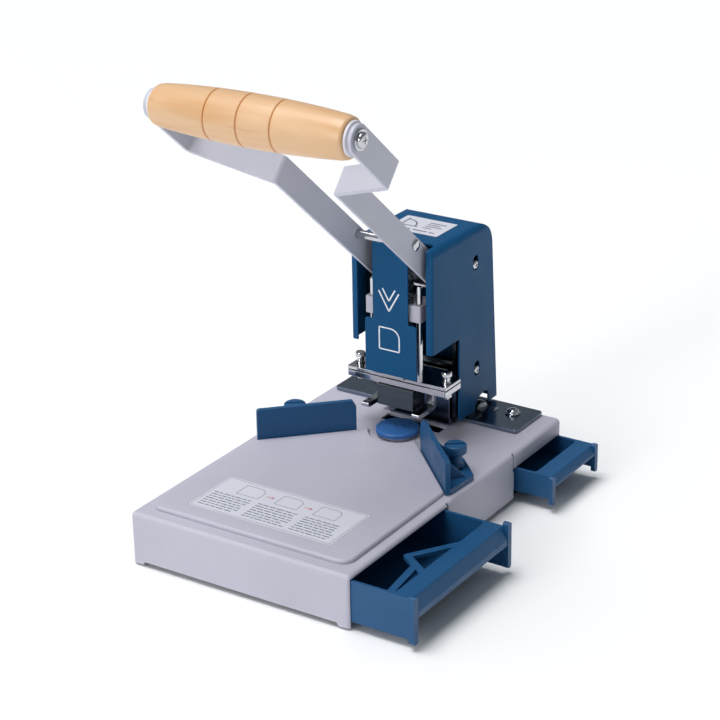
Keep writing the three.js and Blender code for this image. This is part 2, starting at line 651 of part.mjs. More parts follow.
const punchBlock = block(
  [-PUNCH.half, PUNCH.half], [PUNCH.front, PUNCH.back], [PUNCH.low, PLATES.lowZ - GAP]);
const guideRod = bar('z', ROD.radius, PLATES.highZ + GAP, ROD.top, [ROD.x, ROD.y], 20);

add('face_plate', 'blue', facePlate());
add('slide_block', 'steel', slideBlock());
add('guide_rod_right', 'chrome', guideRod);
add('guide_rod_left', 'chrome', mirrored(guideRod));
add('upper_plate', 'chrome', pressPlate(PLATES.split + PLATES.gap, PLATES.highZ));
add('lower_plate', 'chrome', pressPlate(PLATES.lowZ, PLATES.split));
add('plate_bolt_right', 'chrome', plateBolt());
add('plate_bolt_left', 'chrome', mirrored(plateBolt()));
add('punch_block', 'dark', punchBlock);
add('corner_knife', 'steel', cornerKnife());
add('hold_down', 'steel', holdDown());

// ---------------------------------------------------------------- handle
// sketched flat, with s along the arm from the pivot, then tilted up by the arm's angle
const ARM_TILT = THREE.MathUtils.degToRad(ARM.angle);
const armToMachine = new THREE.Matrix4().makeBasis(
  new THREE.Vector3(1, 0, 0),
  new THREE.Vector3(0, -Math.cos(ARM_TILT), Math.sin(ARM_TILT)),
  new THREE.Vector3(0, -Math.sin(ARM_TILT), -Math.cos(ARM_TILT)),
).setPosition(0, PIVOT.y, PIVOT.z);
const tilted = (piece) => piece.transform(Array.from(armToMachine.elements));
const onArm = (s, lift) => new THREE.Vector3(0, s, -lift).applyMatrix4(armToMachine);

function arm() {
  const { width, sheet, inner, outer, jogLow, jogHigh, grip, bend, tail } = ARM;
  const lead = sheet * 0.6;      // keeps the sheet's thickness through the sloping jog
  const strip = prism('z', outline([
    [inner - sheet, -tail], [inner, -tail],
    [inner, jogLow - lead, bend], [outer, jogHigh - lead, bend + sheet],
    [outer, grip + tail], [outer - sheet, grip + tail],
    [outer - sheet, jogHigh + lead, bend], [inner - sheet, jogLow + lead, bend + sheet],
  ]), -width / 2, width / 2);
  const roundEnds = rectangle([-tail, grip + tail], [-width / 2, width / 2], width / 2 - 0.1);
  const ends = prism('x', roundEnds, -5, outer + 5, 10);
  const rod = CROSS_ROD.radius + GAP;
  return tilted(cut(
    strip.intersect(ends),
    bar('x', PIVOT.shaft + GAP, 0, outer + 5, [0, 0]),
    bar('x', rod, 0, outer + 5, [CROSS_ROD.s, -CROSS_ROD.lift]),
    bar('x', GRIP.bore, 0, outer + 5, [grip, 0]),
  ));
}

function crossRod() {
  const { s, lift, radius, head } = CROSS_ROD;
  const place = [s, -lift];
  const heads = [ARM.inner + GAP, ARM.inner + 1.6];
  return tilted(join(
    bar('x', radius, -heads[1], heads[1], place),
    bar('x', head, heads[0], heads[1], place), bar('x', head, -heads[1], -heads[0], place),
  ));
}

function rocker() {
  const half = ARM.inner - ARM.sheet - GAP;
  const tube = cut(
    bar('x', 7, -half, half, [PIVOT.y, PIVOT.z]),
    bar('x', PIVOT.shaft + GAP, -half - 1, half + 1, [PIVOT.y, PIVOT.z]),
  );
  const nose = bar('x', NOSE.radius, -6, 6, [NOSE.y, NOSE.z], 20);
  const neckTurn = Math.atan2(NOSE.z - PIVOT.z, NOSE.y - PIVOT.y);
  const neck = block([-6, 6], [5, ROCKER_REACH], [-1.9, 1.9])
    .rotate([THREE.MathUtils.radToDeg(neckTurn), 0, 0]).translate([0, PIVOT.y, PIVOT.z]);
  return join(tube, neck, nose);
}

function gripBolt() {
  const { grip, outer } = ARM;
  const bothSides = (radius, from, to) => [
    bar('x', radius, outer + from, outer + to, [grip, 0]),
    bar('x', radius, -outer - to, -outer - from, [grip, 0]),
  ];
  return tilted(join(
    bar('x', 4, -outer - 1.4, outer + 1.4, [grip, 0]),
    ...bothSides(6.8, GAP, 1.6),
    ...bothSides(5, 1.5, 4),
  ));
}

function gripCap() {
  const inner = GRIP.half + GAP;
  const outer = ARM.outer - ARM.sheet - GAP;
  return tilted(cut(
    bar('x', GRIP.cap, inner, outer, [ARM.grip, 0], 32),
    bar('x', GRIP.bore, inner - 1, outer + 1, [ARM.grip, 0]),
  ));
}

// barrel shape with three turned grooves
function woodGrip() {
  const { half, belly, end, bore, grooves } = GRIP;
  const swell = (x) => belly - (belly - end) * Math.abs(x / half) ** 2.1;
  const stations = [-half + 2];
  for (let x = -60; x <= 60; x += 12) {
    if (grooves.every((g) => Math.abs(x - g) > 1.5)) stations.push(x);
  }
  stations.push(half - 2);
  const skin = [
    ...stations.map((x) => [swell(x), x]),
    ...grooves.flatMap((g) => [[swell(g), g - 0.8], [swell(g) - 0.5, g], [swell(g), g + 0.8]]),
  ].sort((a, b) => a[1] - b[1]);
  const face = end - 2;
  const profile = [[bore, -half], [face, -half], ...skin, [face, half], [bore, half], [bore, -half]];
  const centre = onArm(ARM.grip, 0);
  return aside(layAlongX(turned(profile, 28)), 0, centre.y, centre.z);
}

add('arm_right', 'grey', arm());
add('arm_left', 'grey', mirrored(arm()));
add('cross_rod', 'chrome', crossRod());
add('rocker', 'steel', rocker());
add('grip_bolt', 'chrome', gripBolt());
add('grip_cap_right', 'white', gripCap());
add('grip_cap_left', 'white', mirrored(gripCap()));
add('wood_grip', 'wood', woodGrip());

// the origin is the middle of the machine's footprint box, on the surface that it stands on
const box = new THREE.Box3().setFromObject(machine);
machine.position.set(-(box.min.x + box.max.x) / 2, -(box.min.y + box.max.y) / 2, -box.min.z);

export default machine;
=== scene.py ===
"""The visible model of a desktop corner-rounding punch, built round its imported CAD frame.

Shapes are drawn in the design's millimetres: X = 0 on the middle of the base, Y = 0 on its front
wall, Z = 0 on the surface that the feet stand on. TO_ROW then puts them in the frame, in metres.
"""
import math
import random
from types import SimpleNamespace as Sizes

import bmesh
import bpy
from mathutils import Matrix, Vector


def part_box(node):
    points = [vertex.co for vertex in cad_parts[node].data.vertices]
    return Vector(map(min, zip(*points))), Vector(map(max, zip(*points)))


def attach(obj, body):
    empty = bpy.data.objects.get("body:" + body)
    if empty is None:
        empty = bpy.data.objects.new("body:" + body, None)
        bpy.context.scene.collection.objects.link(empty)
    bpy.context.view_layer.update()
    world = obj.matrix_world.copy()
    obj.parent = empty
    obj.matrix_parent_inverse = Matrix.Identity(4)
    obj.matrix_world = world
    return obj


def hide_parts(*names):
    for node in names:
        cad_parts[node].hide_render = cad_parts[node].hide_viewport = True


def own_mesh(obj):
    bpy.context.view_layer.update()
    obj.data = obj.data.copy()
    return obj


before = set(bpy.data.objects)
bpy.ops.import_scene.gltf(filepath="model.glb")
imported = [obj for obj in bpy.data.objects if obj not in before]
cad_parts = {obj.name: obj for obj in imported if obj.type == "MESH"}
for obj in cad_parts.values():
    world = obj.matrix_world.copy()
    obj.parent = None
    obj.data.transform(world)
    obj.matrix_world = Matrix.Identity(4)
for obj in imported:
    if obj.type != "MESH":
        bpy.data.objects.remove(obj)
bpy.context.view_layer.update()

MM = 0.001
BASE_HALF, BASE_LOW = 85.0, 1.5  # the base housing's low corner, in design millimetres
BASE_CORNER = Vector(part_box("base_housing")[0])
ZERO = BASE_CORNER - Vector((-BASE_HALF, 0, BASE_LOW)) * MM
TO_ROW = Matrix.Translation(ZERO) @ Matrix.Scale(MM, 4)

CLEAR = 1.0  # how far a cutting tool reaches past the surface that it opens
AIR = 0.2  # the gap between pieces that touch
SAME = 0.001  # points nearer than this are one
SHARP, STEEP = math.radians(32), math.radians(50)

random.seed(7)


def span(node):
    """The node's (low, high) along X, Y and Z, in the design's millimetres."""
    low, high = ((Vector(corner) - ZERO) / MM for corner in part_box(node))
    return [(low[i], high[i]) for i in range(3)]


def middle(node):
    """The centre of the node's box."""
    return Vector([sum(pair) / 2 for pair in span(node)])


def upright(node):
    """Where the node's upright axis meets Z = 0."""
    centre = middle(node)
    return (centre.x, centre.y, 0)


def half_width(node):
    low, high = span(node)[0]
    return (high - low) / 2


def arc(centre, radius, steps=6, end=90):
    """Points from straight out at 0 degrees up to end. Radius is (across, up)."""
    turns = [math.radians(end * k / steps) for k in range(steps + 1)]
    return [(centre[0] + radius[0] * math.cos(a), centre[1] + radius[1] * math.sin(a)) for a in turns]


def mesh_of(name, bm):
    """The solid as a mesh. The solid is used up."""
    mesh = bpy.data.meshes.new(name)
    bm.to_mesh(mesh)
    bm.free()
    return mesh


def add_object(name, data):
    thing = bpy.data.objects.new(name, data)
    bpy.context.collection.objects.link(thing)
    return thing


# ------------------------------ outlines and solids
def outline(corners, steps=8):
    """A closed outline of sharp (u, v) corners and of (u, v, radius) ones, rounded by an arc."""
    points = []
    for i, (u, v, *radius) in enumerate(corners):
        here = Vector((u, v))
        radius = sum(radius)
        if not radius:
            points.append(here)
            continue
        back = (Vector(corners[i - 1][:2]) - here).normalized()
        ahead = (Vector(corners[(i + 1) % len(corners)][:2]) - here).normalized()
        half = back.angle(ahead) / 2
        centre = here + (back + ahead).normalized() * radius / math.sin(half)
        start = here + back * radius / math.tan(half) - centre
        end = here + ahead * radius / math.tan(half) - centre
        turn = math.atan2(start.x * end.y - start.y * end.x, start.dot(end))
        for k in range(steps + 1):
            points.append(centre + Matrix.Rotation(turn * k / steps, 2) @ start)
    return points


def rectangle(u, v, radius=0.0, steps=8):
    corners = ((u[0], v[0]), (u[1], v[0]), (u[1], v[1]), (u[0], v[1]))
    return outline([(*corner, radius) for corner in corners], steps)


def circle(centre, radius, sides=64):
    return arc(centre, (radius, radius), sides, 360)[:-1]


SKETCH = {
    "x": lambda u, v, w: (w, u, v),
    "y": lambda u, v, w: (u, w, v),
    "z": lambda u, v, w: (u, v, w),
}


def outward(bm):
    """The solid with every face turned outwards."""
    bmesh.ops.recalc_face_normals(bm, faces=bm.faces)
    return bm


def lofted(bm, rings):
    """Closes a solid over rings that all have one count of vertices."""
    bm.faces.new(rings[0])
    bm.faces.new(rings[-1])
    for near, far in zip(rings, rings[1:]):
        for i in range(len(near)):
            bm.faces.new((near[i - 1], near[i], far[i], far[i - 1]))
    return outward(bm)


def prism(axis, points, low, high):
    """Pulls an outline along an axis: x takes (y, z) points, y takes (x, z), z takes (x, y)."""
    bm = bmesh.new()
    lift = SKETCH[axis]
    return lofted(bm, [[bm.verts.new(lift(*point, level)) for point in points] for level in (low, high)])


def line_points(start, end, half):
    """The outline of a straight run of the given half width."""
    start, end = Vector(start), Vector(end)
    along = (end - start).normalized()
    side = Vector((-along.y, along.x)) * half
    return [start + side, end + side, end - side, start - side]


def block(x, y, z):
    """A plain box between the given limits."""
    return prism("z", rectangle(x, y), *z)


def bar(axis, radius, low, high, centre, sides=64):
    """A round bar along an axis."""
    return prism(axis, circle(centre, radius, sides), low, high)


def turned(profile, centre, axis="z", sides=72, closed=False):
    """Spins (radius, height) points round an axis through centre. A closed profile makes a ring."""
    bm = bmesh.new()
    rings = []
    for radius, height in profile:
        if radius < 1e-6:
            rings.append([bm.verts.new((0, 0, height))])
            continue
        rings.append([bm.verts.new((*point, height)) for point in circle((0, 0), radius, sides)])
    if closed:
        rings.append(rings[0])
    for low, high in zip(rings, rings[1:]):
        for k in range(sides):
            after = (k + 1) % sides
            if len(low) == 1:
                bm.faces.new((low[0], high[after], high[k]))
            elif len(high) == 1:
                bm.faces.new((low[k], low[after], high[0]))
            else:
                bm.faces.new((low[k], low[after], high[after], high[k]))
    if axis == "x":
        bm.transform(Matrix.Rotation(math.pi / 2, 4, "Y"))
    bm.transform(Matrix.Translation(centre))
    return outward(bm)


def swept(path, radius, sides=12):
    """A round wire along a list of points."""
    bm = bmesh.new()
    rings = []
    for i, point in enumerate(path):
        ahead = (path[min(i + 1, len(path) - 1)] - path[max(i - 1, 0)]).normalized()
        side = ahead.cross(Vector((0, 0, 1))).normalized()
        lift = side.cross(ahead)
        rings.append([bm.verts.new(point + side * u + lift * v) for u, v in circle((0, 0), radius, sides)])
    return lofted(bm, rings)


def boolean(first, second, operation):
    """The exact boolean of two solids, as a new one. Both are used up."""
    whole, tool = (add_object("temporary", mesh_of("temporary", bm)) for bm in (first, second))
    step = whole.modifiers.new("boolean", "BOOLEAN")
    step.operation = operation
    step.object = tool
    step.solver = "EXACT"
    graph = bpy.context.evaluated_depsgraph_get()
    made = bpy.data.meshes.new_from_object(whole.evaluated_get(graph))
    result = bmesh.new()
    result.from_mesh(made)
    for thing in (whole, tool):
        mesh = thing.data
        bpy.data.objects.remove(thing)
        bpy.data.meshes.remove(mesh)
    bpy.data.meshes.remove(made)
    bmesh.ops.remove_doubles(result, verts=result.verts, dist=SAME)
    bmesh.ops.dissolve_degenerate(result, edges=result.edges, dist=SAME)
    return result


def cut(whole, *tools):
    for tool in tools:
        whole = boolean(whole, tool, "DIFFERENCE")
    return whole


def join(whole, *others):
    for other in others:
        whole = boolean(whole, other, "UNION")
    return whole


def common(first, second):
    return boolean(first, second, "INTERSECT")


def mirrored(bm):
    """Turns a right-hand solid into its left-hand twin."""
    bm.transform(Matrix.Scale(-1, 4, (1, 0, 0)))
    bmesh.ops.reverse_faces(bm, faces=bm.faces)
    return bm


def round_rim(bm, height, radius, steps=6):
    """Rounds the outer edges of the level face at the given height."""
    rim = [
        e for e in bm.edges
        if all(abs(v.co.z - height) < SAME for v in e.verts) and e.calc_face_angle(0) > STEEP
    ]
    bmesh.ops.bevel(bm, geom=rim, offset=radius, segments=steps, profile=0.5, affect="EDGES")
    return bm


def rounded_box(x, y, z, corner, rim):
    return round_rim(prism("z", rectangle(x, y, corner), *z), z[1], rim)


def piece(name, bm, look, body, node=None, edge=0.0, steps=3):
    """Makes an object of a solid: smooth faces, softened edges, a material, a body to ride on. It
    stands in for the CAD node, which it hides, if one is given."""
    for face in bm.faces:
        face.smooth = True
    for line in bm.edges:
        line.smooth = line.calc_face_angle(0) < SHARP
    bm.transform(TO_ROW)
    thing = add_object(name, mesh_of(name, bm))
    thing.data.materials.append(look)
    if edge:
        soften = thing.modifiers.new("soft_edges", "BEVEL")
        soften.width = edge * MM
        soften.segments = steps
        soften.limit_method = "ANGLE"
        soften.angle_limit = SHARP
        soften.harden_normals = True
    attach(thing, body)
    if node:
        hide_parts(node)
    return thing


def twins(name, bm, look, body, node, edge=0.0):
    """A right-hand piece and its mirrored left-hand one. Both names hold {} for the side."""
    piece(name.format("right"), bm.copy(), look, body, node.format("right"), edge=edge)
    piece(name.format("left"), mirrored(bm), look, body, node.format("left"), edge=edge)


# ------------------------------ materials
def linear(red, green, blue):
    """Screen colour, 0 to 255, as the renderer's linear colour."""
    return [((c / 255 + 0.055) / 1.055) ** 2.4 if c > 10 else c / 255 / 12.92 for c in (red, green, blue)]


def shade(colour, factor):
    """The colour made darker or lighter by a factor."""
    return [min(c * factor, 1.0) for c in colour]


def set_inputs(node, values):
    for socket, value in values.items():
        node.inputs[socket].default_value = value
    return node


class Look:
    """A node material that starts from one colour and takes grain, bumps and wear."""

    def __init__(self, name, colour, roughness, metallic=0.0, **constants):
        self.material = bpy.data.materials.new(name)
        self.material.use_nodes = True
        self.tree = self.material.node_tree
        self.shader = self.tree.nodes["Principled BSDF"]
        set_inputs(self.shader, {"Base Color": (*colour, 1), "Roughness": roughness, "Metallic": metallic})
        set_inputs(self.shader, {socket.replace("_", " "): value for socket, value in constants.items()})
        self.place = self.node("ShaderNodeTexCoord").outputs["Object"]
        self.colour = None
        self.base = colour

    def node(self, kind, values=(), **settings):
        made = self.tree.nodes.new(kind)
        for key, value in settings.items():
            setattr(made, key, value)
        return set_inputs(made, dict(values))

    def link(self, source, target):
        self.tree.links.new(source, target)

    def noise(self, scale, detail=3.0, stretch=(1, 1, 1), distortion=0.0):
        """Noise in the object's own space. Scale counts its lumps per metre."""
        mapping = self.node("ShaderNodeMapping", {"Scale": stretch})
        self.link(self.place, mapping.inputs["Vector"])
        made = self.node("ShaderNodeTexNoise", {"Scale": scale, "Detail": detail, "Distortion": distortion})
        self.link(mapping.outputs["Vector"], made.inputs["Vector"])
        return made.outputs["Fac"]

    def ramp(self, factor, low, high, start=0.0, end=1.0):
        """Stretches the factor's low to high onto start to end, held at both ends."""
        limits = {"From Min": low, "From Max": high, "To Min": start, "To Max": end}
        made = self.node("ShaderNodeMapRange", limits, clamp=True)
        self.link(factor, made.inputs["Value"])
        return made.outputs["Result"]

    def tint(self, factor, colour):
        """Mixes a colour over what there is, by factor."""
        mix = self.node("ShaderNodeMix", data_type="RGBA")
        self.link(factor, mix.inputs["Factor"])
        if self.colour is None:
            mix.inputs["A"].default_value = (*self.base, 1)
        else:
            self.link(self.colour, mix.inputs["A"])
        mix.inputs["B"].default_value = (*colour, 1)
        self.colour = mix.outputs["Result"]
        self.link(self.colour, self.shader.inputs["Base Color"])

    def stain(self, colour, strength, low, high, *noise):
        """Mixes a colour in wherever the noise rises from low to high."""
        self.tint(self.ramp(self.noise(*noise), low, high, 0.0, strength), colour)

    def rough(self, factor, start, end):
        """Lets the roughness wander between two values."""
        self.link(self.ramp(factor, 0.3, 0.7, start, end), self.shader.inputs["Roughness"])

    def bump(self, factor, distance, strength=1.0):
        """Adds a relief of so many millimetres over the reliefs there are."""
        made = self.node("ShaderNodeBump", {"Distance": distance * MM, "Strength": strength})
        self.link(factor, made.inputs["Height"])
        before = self.shader.inputs["Normal"]
        if before.is_linked:
            self.link(before.links[0].from_socket, made.inputs["Normal"])
        self.link(made.outputs["Normal"], before)


def paint(name, colour, roughness=0.42, dirt=0.86, gloss=0.4):
    """Powder coat: fine orange peel, faint clouding and a few specks of dust."""
    look = Look(name, colour, roughness, Specular_IOR_Level=gloss)
    look.stain(shade(colour, dirt), 0.5, 0.42, 0.78, 14, 4)
    look.stain(shade(colour, 1.25), 0.5, 0.74, 0.79, 420, 1)
    look.rough(look.noise(60, 4), roughness - 0.05, roughness + 0.08)
    look.bump(look.noise(700, 2), 0.05, 0.22)
    look.bump(look.noise(120, 2), 0.1, 0.08)
    return look.material


def plastic(name, colour, roughness=0.4):
    """Moulded plastic: a fine spark-eroded grain, flow marks and light rubbing."""
    look = Look(name, colour, roughness, Specular_IOR_Level=0.35)
    look.stain(shade(colour, 0.8), 0.45, 0.4, 0.8, 22, 3, (1, 1, 2.5), 0.6)
    look.stain(shade(colour, 1.7), 0.16, 0.66, 0.78, 90, 6, (1, 6, 1))
    look.rough(look.noise(45, 5), roughness - 0.06, roughness + 0.1)
    look.bump(look.noise(1400, 2), 0.03, 0.2)
    return look.material


def steel(name, colour, roughness, stretch, depth=0.03, oil=0.0):
    """Ground steel: long scratches across the stretch, patchy gloss and an oily bloom."""
    look = Look(name, colour, roughness, 1.0)
    scratches = look.noise(260, 6, stretch)
    look.tint(look.ramp(scratches, 0.35, 0.7, 0.0, 0.5), shade(colour, 0.72))
    if oil:
        look.stain(shade(colour, 0.5), oil, 0.5, 0.75, 30, 4)
    look.rough(look.noise(70, 5, stretch), roughness - 0.06, roughness + 0.12)
    look.bump(scratches, depth, 0.35)
    return look.material


def chrome(name):
    """Polished plating with faint clouds and fine wiping marks."""
    look = Look(name, linear(198, 198, 203), 0.1, 1.0)
    look.stain(linear(150, 148, 152), 0.3, 0.55, 0.8, 40, 5)
    look.rough(look.noise(120, 5), 0.06, 0.2)
    look.bump(look.noise(300, 3), 0.01, 0.2)
    return look.material


def rubber(name):
    """Matt moulded rubber, greyed by dust."""
    look = Look(name, linear(34, 34, 36), 0.85)
    look.stain(linear(62, 61, 60), 0.5, 0.5, 0.75, 60, 5)
    look.bump(look.noise(900, 3), 0.08, 0.5)
    return look.material


def paper(name, colour):
    """Coated paper, or the ink on it."""
    look = Look(name, colour, 0.45)
    look.stain(shade(colour, 0.9), 0.4, 0.45, 0.8, 35, 5)
    look.bump(look.noise(800, 4), 0.02, 0.3)
    return look.material


# round a groove: full strength up to near, none from far on, in millimetres
BURNS = ((0.4, 1.4, 0.5, (214, 152, 90)), (0.2, 0.6, 0.7, (176, 108, 56)))


def turned_birch(name, grooves):
    """Lacquered birch with its grain along X, small flecks, and a burnt line in each groove."""
    light, dark = linear(228, 190, 150), linear(212, 164, 116)
    look = Look(name, light, 0.42, Coat_Weight=0.12, Coat_Roughness=0.22)
    look.stain(dark, 1.0, 0.38, 0.68, 16, 4, (0.35, 1.6, 1.6), 1.2)
    grain = look.noise(70, 7, (0.07, 1.5, 1.5), 0.8)
    look.tint(look.ramp(grain, 0.5, 0.68, 0.0, 0.35), linear(210, 158, 108))
    look.stain(linear(186, 130, 80), 0.3, 0.66, 0.74, 420, 2, (0.06, 1, 1))
    apart = look.node("ShaderNodeSeparateXYZ")
    look.link(look.place, apart.inputs["Vector"])
    for groove in grooves:
        away = look.node("ShaderNodeMath", {1: ZERO.x + groove * MM}, operation="SUBTRACT")
        look.link(apart.outputs["X"], away.inputs[0])
        distance = look.node("ShaderNodeMath", operation="ABSOLUTE")
        look.link(away.outputs["Value"], distance.inputs[0])
        for near, far, strength, burnt in BURNS:
            burn = look.ramp(distance.outputs["Value"], near * MM, far * MM, strength, 0.0)
            look.tint(burn, linear(*burnt))
    look.rough(look.noise(50, 5, (0.3, 1, 1)), 0.3, 0.44)
    look.bump(grain, 0.05, 0.3)
    look.bump(look.noise(500, 4, (0.08, 1, 1)), 0.03, 0.3)
    return look.material


GRIP_GROOVES = (-25.7, -1.5, 22.7)  # X of each burnt groove
ALONG_X = (0.05, 1, 1)  # grinding marks that run along X
ALONG_Z = (1, 1, 0.04)
housing_paint = paint("housing_paint", linear(186, 184, 198))
arm_paint = paint("arm_paint", linear(194, 195, 208), 0.36)
tower_paint = paint("tower_paint", linear(16, 78, 122), 0.36, 0.75, 0.12)
blue_plastic = plastic("blue_plastic", linear(28, 80, 124), 0.38)
disc_plastic = plastic("disc_plastic", linear(50, 102, 166), 0.36)
cap_plastic = plastic("cap_plastic", linear(222, 220, 228), 0.3)
bright_chrome = chrome("bright_chrome")
plain_steel = steel("plain_steel", linear(186, 188, 192), 0.26, ALONG_X)
rod_steel = steel("rod_steel", linear(214, 214, 218), 0.16, ALONG_Z, 0.01)
# Dark steel that also serves as painted shade: the return coils and frame plates inside the tower take it
# so that they read as shaded.
dark_steel = steel("dark_steel", linear(88, 98, 104), 0.16, ALONG_X, 0.008, 0.5)
plate_steel = steel("plate_steel", linear(128, 140, 156), 0.14, ALONG_X, 0.006, 0.4)
foot_rubber = rubber("foot_rubber")
label_paper = paper("label_paper", linear(212, 212, 222))
ink = paper("printed_ink", linear(84, 88, 104))
red_ink = paper("printed_red_ink", linear(188, 64, 74))
white_ink = paper("printed_white_ink", linear(232, 236, 242))
grip_wood = turned_birch("grip_wood", GRIP_GROOVES)


# ------------------------------ base
DECK = 38.0  # height of the housing's top
SHEET = 1.5
BEND = Sizes(corner=3.2, rim=3.0, inner_corner=1.8, inner_rim=1.5)
RAISED = Sizes(half=76, side_tab=9, height=2.2, round=1.6)  # lower edges between the corner tabs
WALL_CUT = (2.5, 1)  # a tool through the right wall, in from it and out
FRONT_BAY = ((SHEET, 117), 35.5)  # y, top
REAR_BAY = (205, 26.5)  # y where it starts, top
BAY_SLITS = (((116.4, 118.2), 32), ((203.4, 205.2), 24))  # relief slits beside the bays
SCRAP_OPENING = ((-24, 24), (207, 217.7))
TABLE_TIP = 202.9  # y of the table's point
TABLE_CORNERS = (9, 3)  # radii at its front and beside its point
TABLE_EDGE = 1.9
DISC_RECESS = 20.0
LABEL_POCKET = Sizes(margin=0.15, depth=0.4)
DISC_CENTRE = middle("cutting_disc")


def housing():
    """One folded sheet: rounded top, raised lower edges, bays for the drawers, a scrap opening."""
    x, y, z = span("base_housing")
    below = z[0] - 5
    hollow = rounded_box(
        (x[0] + SHEET, x[1] - SHEET), (y[0] + SHEET, y[1] - SHEET), (below, z[1] - SHEET),
        BEND.inner_corner, BEND.inner_rim)
    shell = cut(rounded_box(x, y, z, BEND.corner, BEND.rim), hollow)
    half, tab, top, bend = RAISED.half, RAISED.side_tab, z[0] + RAISED.height, RAISED.round
    wall = (x[1] - WALL_CUT[0], x[1] + WALL_CUT[1])
    return cut(
        shell,
        prism("y", outline([
            (-half, below), (half, below), (half, top, bend), (-half, top, bend)]), -5, y[1] + 5),
        block((x[0] - 5, x[1] + 5), (tab, y[1] - tab), (below, top)),
        block(wall, FRONT_BAY[0], (below, FRONT_BAY[1])),
        block(wall, (REAR_BAY[0], y[1] - SHEET), (below, REAR_BAY[1])),
        *[block(wall, slit, (low, DECK - 0.4)) for slit, low in BAY_SLITS],
        prism("z", rectangle(*SCRAP_OPENING, 1), DECK - 3, DECK + CLEAR),
    )


def table_plate():
    """The raised work table: V end at 45 degrees, recesses for the disc and the label, rolled edge."""
    x, y, z = span("table_plate")
    side, (front, beside) = x[1], TABLE_CORNERS
    shoulder = TABLE_TIP - side
    plate = prism("z", outline([
        (-side, y[0], front), (side, y[0], front), (side, shoulder, beside), (0, TABLE_TIP),
        (-side, shoulder, beside),
    ], 12), *z)
    recess = bar("z", DISC_RECESS, z[0] - 2, z[1] + 2, DISC_CENTRE, 96)
    plate = round_rim(cut(plate, recess), z[1], TABLE_EDGE, 6)
    margin = LABEL_POCKET.margin
    pocket = [(low - margin, high + margin) for low, high in span("table_label")[:2]]
    return cut(plate, block(*pocket, (z[1] - LABEL_POCKET.depth, z[1] + CLEAR)))


piece("folded_housing", housing(), housing_paint, "base", "base_housing")
piece("work_table", table_plate(), housing_paint, "base", "table_plate")


def foot(node):
    """A moulded foot: a hollow under its middle, a rounded lower edge."""
    radius, top = half_width(node), span(node)[2][1]
    return turned([
        (0, 0.4), (radius - 2.6, 0.4), (radius - 2.2, 0), (radius - 1, 0), (radius - 0.3, 0.4),
        (radius, 1.1), (radius - 0.3, top), (0, top),
    ], upright(node))


for number in range(1, 5):
    node = f"rubber_foot_{number}"
    piece(f"moulded_foot_{number}", foot(node), foot_rubber, "base", node)


def disc():
    """The cutting disc: full round rim, a centre dimple and faint turned rings."""
    radius = half_width("cutting_disc")
    low, high = span("cutting_disc")[2]
    rim = 1.2
    face = []
    for ring in (12.2, 9.4, 6.6):
        face += [(ring + 0.25, high), (ring, high - 0.06), (ring - 0.25, high)]
    return turned([
        (0, low), (radius - 0.8, low), (radius - 0.2, low + 0.3), (radius, low + 0.9),
        *arc((radius - rim, high - rim), (rim, rim)), *face,
        (1.7, high), (1.2, high - 0.4), (0.5, high - 0.75), (0, high - 0.8),
    ], upright("cutting_disc"), sides=96)


piece("turning_disc", disc(), disc_plastic, "disc", "cutting_disc")


# ------------------------------ fences and knobs
KNOB_OUT = 15.7  # from the fence's paper side to its knob
KNOB_AT = (65.0, 160.6)
KNOB_SEAT = DECK + 4.4
FENCE = Sizes(back=-34.5, front=35.5, thick=3.6, top=62.5, sole=4, reach=24.2, web=2.4, web_high=19)
FENCE_WEBS = (-19, 16.6)
FENCE_SLOT = Sizes(half_long=8.4, half_wide=2.9, round=2.88)
LEFT_FENCE_IN = 5  # the left fence stands this much nearer the apex


def fence(slid):
    """A fence in its own axes (u towards the apex, w away from the paper), set on the left side."""
    back, front, thick, top, reach = FENCE.back, FENCE.front, FENCE.thick, FENCE.top, FENCE.reach
    low = DECK + AIR
    wall = prism("y", outline([
        (back, low), (front, low), (front, top - 4.6, 2), (front - 2.5, top, 2), (back, top, 2.2),
    ]), 0, thick)
    sole = prism("z", outline([
        (back, 0.5), (27, 0.5), (27, thick), (10.6, reach, 3), (-16, reach, 3), (back, thick),
    ]), low, low + FENCE.sole)
    rib = outline([
        (2, low + 1), (18, low + 1), (18, low + 4.6), (3.4, low + FENCE.web_high)])
    webs = [prism("x", rib, u, u + FENCE.web) for u in FENCE_WEBS]
    half, wide = FENCE_SLOT.half_long, FENCE_SLOT.half_wide
    slot = prism("z", rectangle((-half, half), (KNOB_OUT - wide, KNOB_OUT + wide), FENCE_SLOT.round), 0, 60)
    shape = cut(join(wall, sole, *webs), slot)
    out, along = math.sqrt(0.5) * KNOB_OUT, math.sqrt(0.5) * slid
    shape.transform(
        Matrix.Translation((-KNOB_AT[0] + out + along, KNOB_AT[1] - out + along, 0))
        @ Matrix.Rotation(math.pi / 4, 4, "Z"))
    return shape


piece("left_paper_fence", fence(LEFT_FENCE_IN), blue_plastic, "left_fence_body", "left_fence", edge=0.55)
piece("right_paper_fence", mirrored(fence(0)), blue_plastic, "right_fence_body", "right_fence", edge=0.55)


def knob(node):
    """A moulded clamp knob: rounded rim, waisted neck, a wide finger slot across the top."""
    head, (low, top), seat = half_width(node), span(node)[2], KNOB_SEAT
    stud, flange = 2.5, 6.1
    body = turned([
        (0, low), (stud, low), (stud, seat), (flange, seat), (flange, seat + 0.8), (4.9, seat + 2),
        (4.4, seat + 4), (4.7, top - 7.6), (head - 0.9, top - 6.6), (head - 0.2, top - 6),
        (head, top - 5.2), (head, top - 1.6), (head - 0.4, top - 0.6), (head - 1.5, top), (0, top),
    ], upright(node))
    groove = prism("z", rectangle((-head - 1, head + 1), (-0.9, 0.9)), top - 1.5, top + CLEAR)
    groove.transform(Matrix.Translation(upright(node)) @ Matrix.Rotation(math.radians(38), 4, "Z"))
    return cut(body, groove)


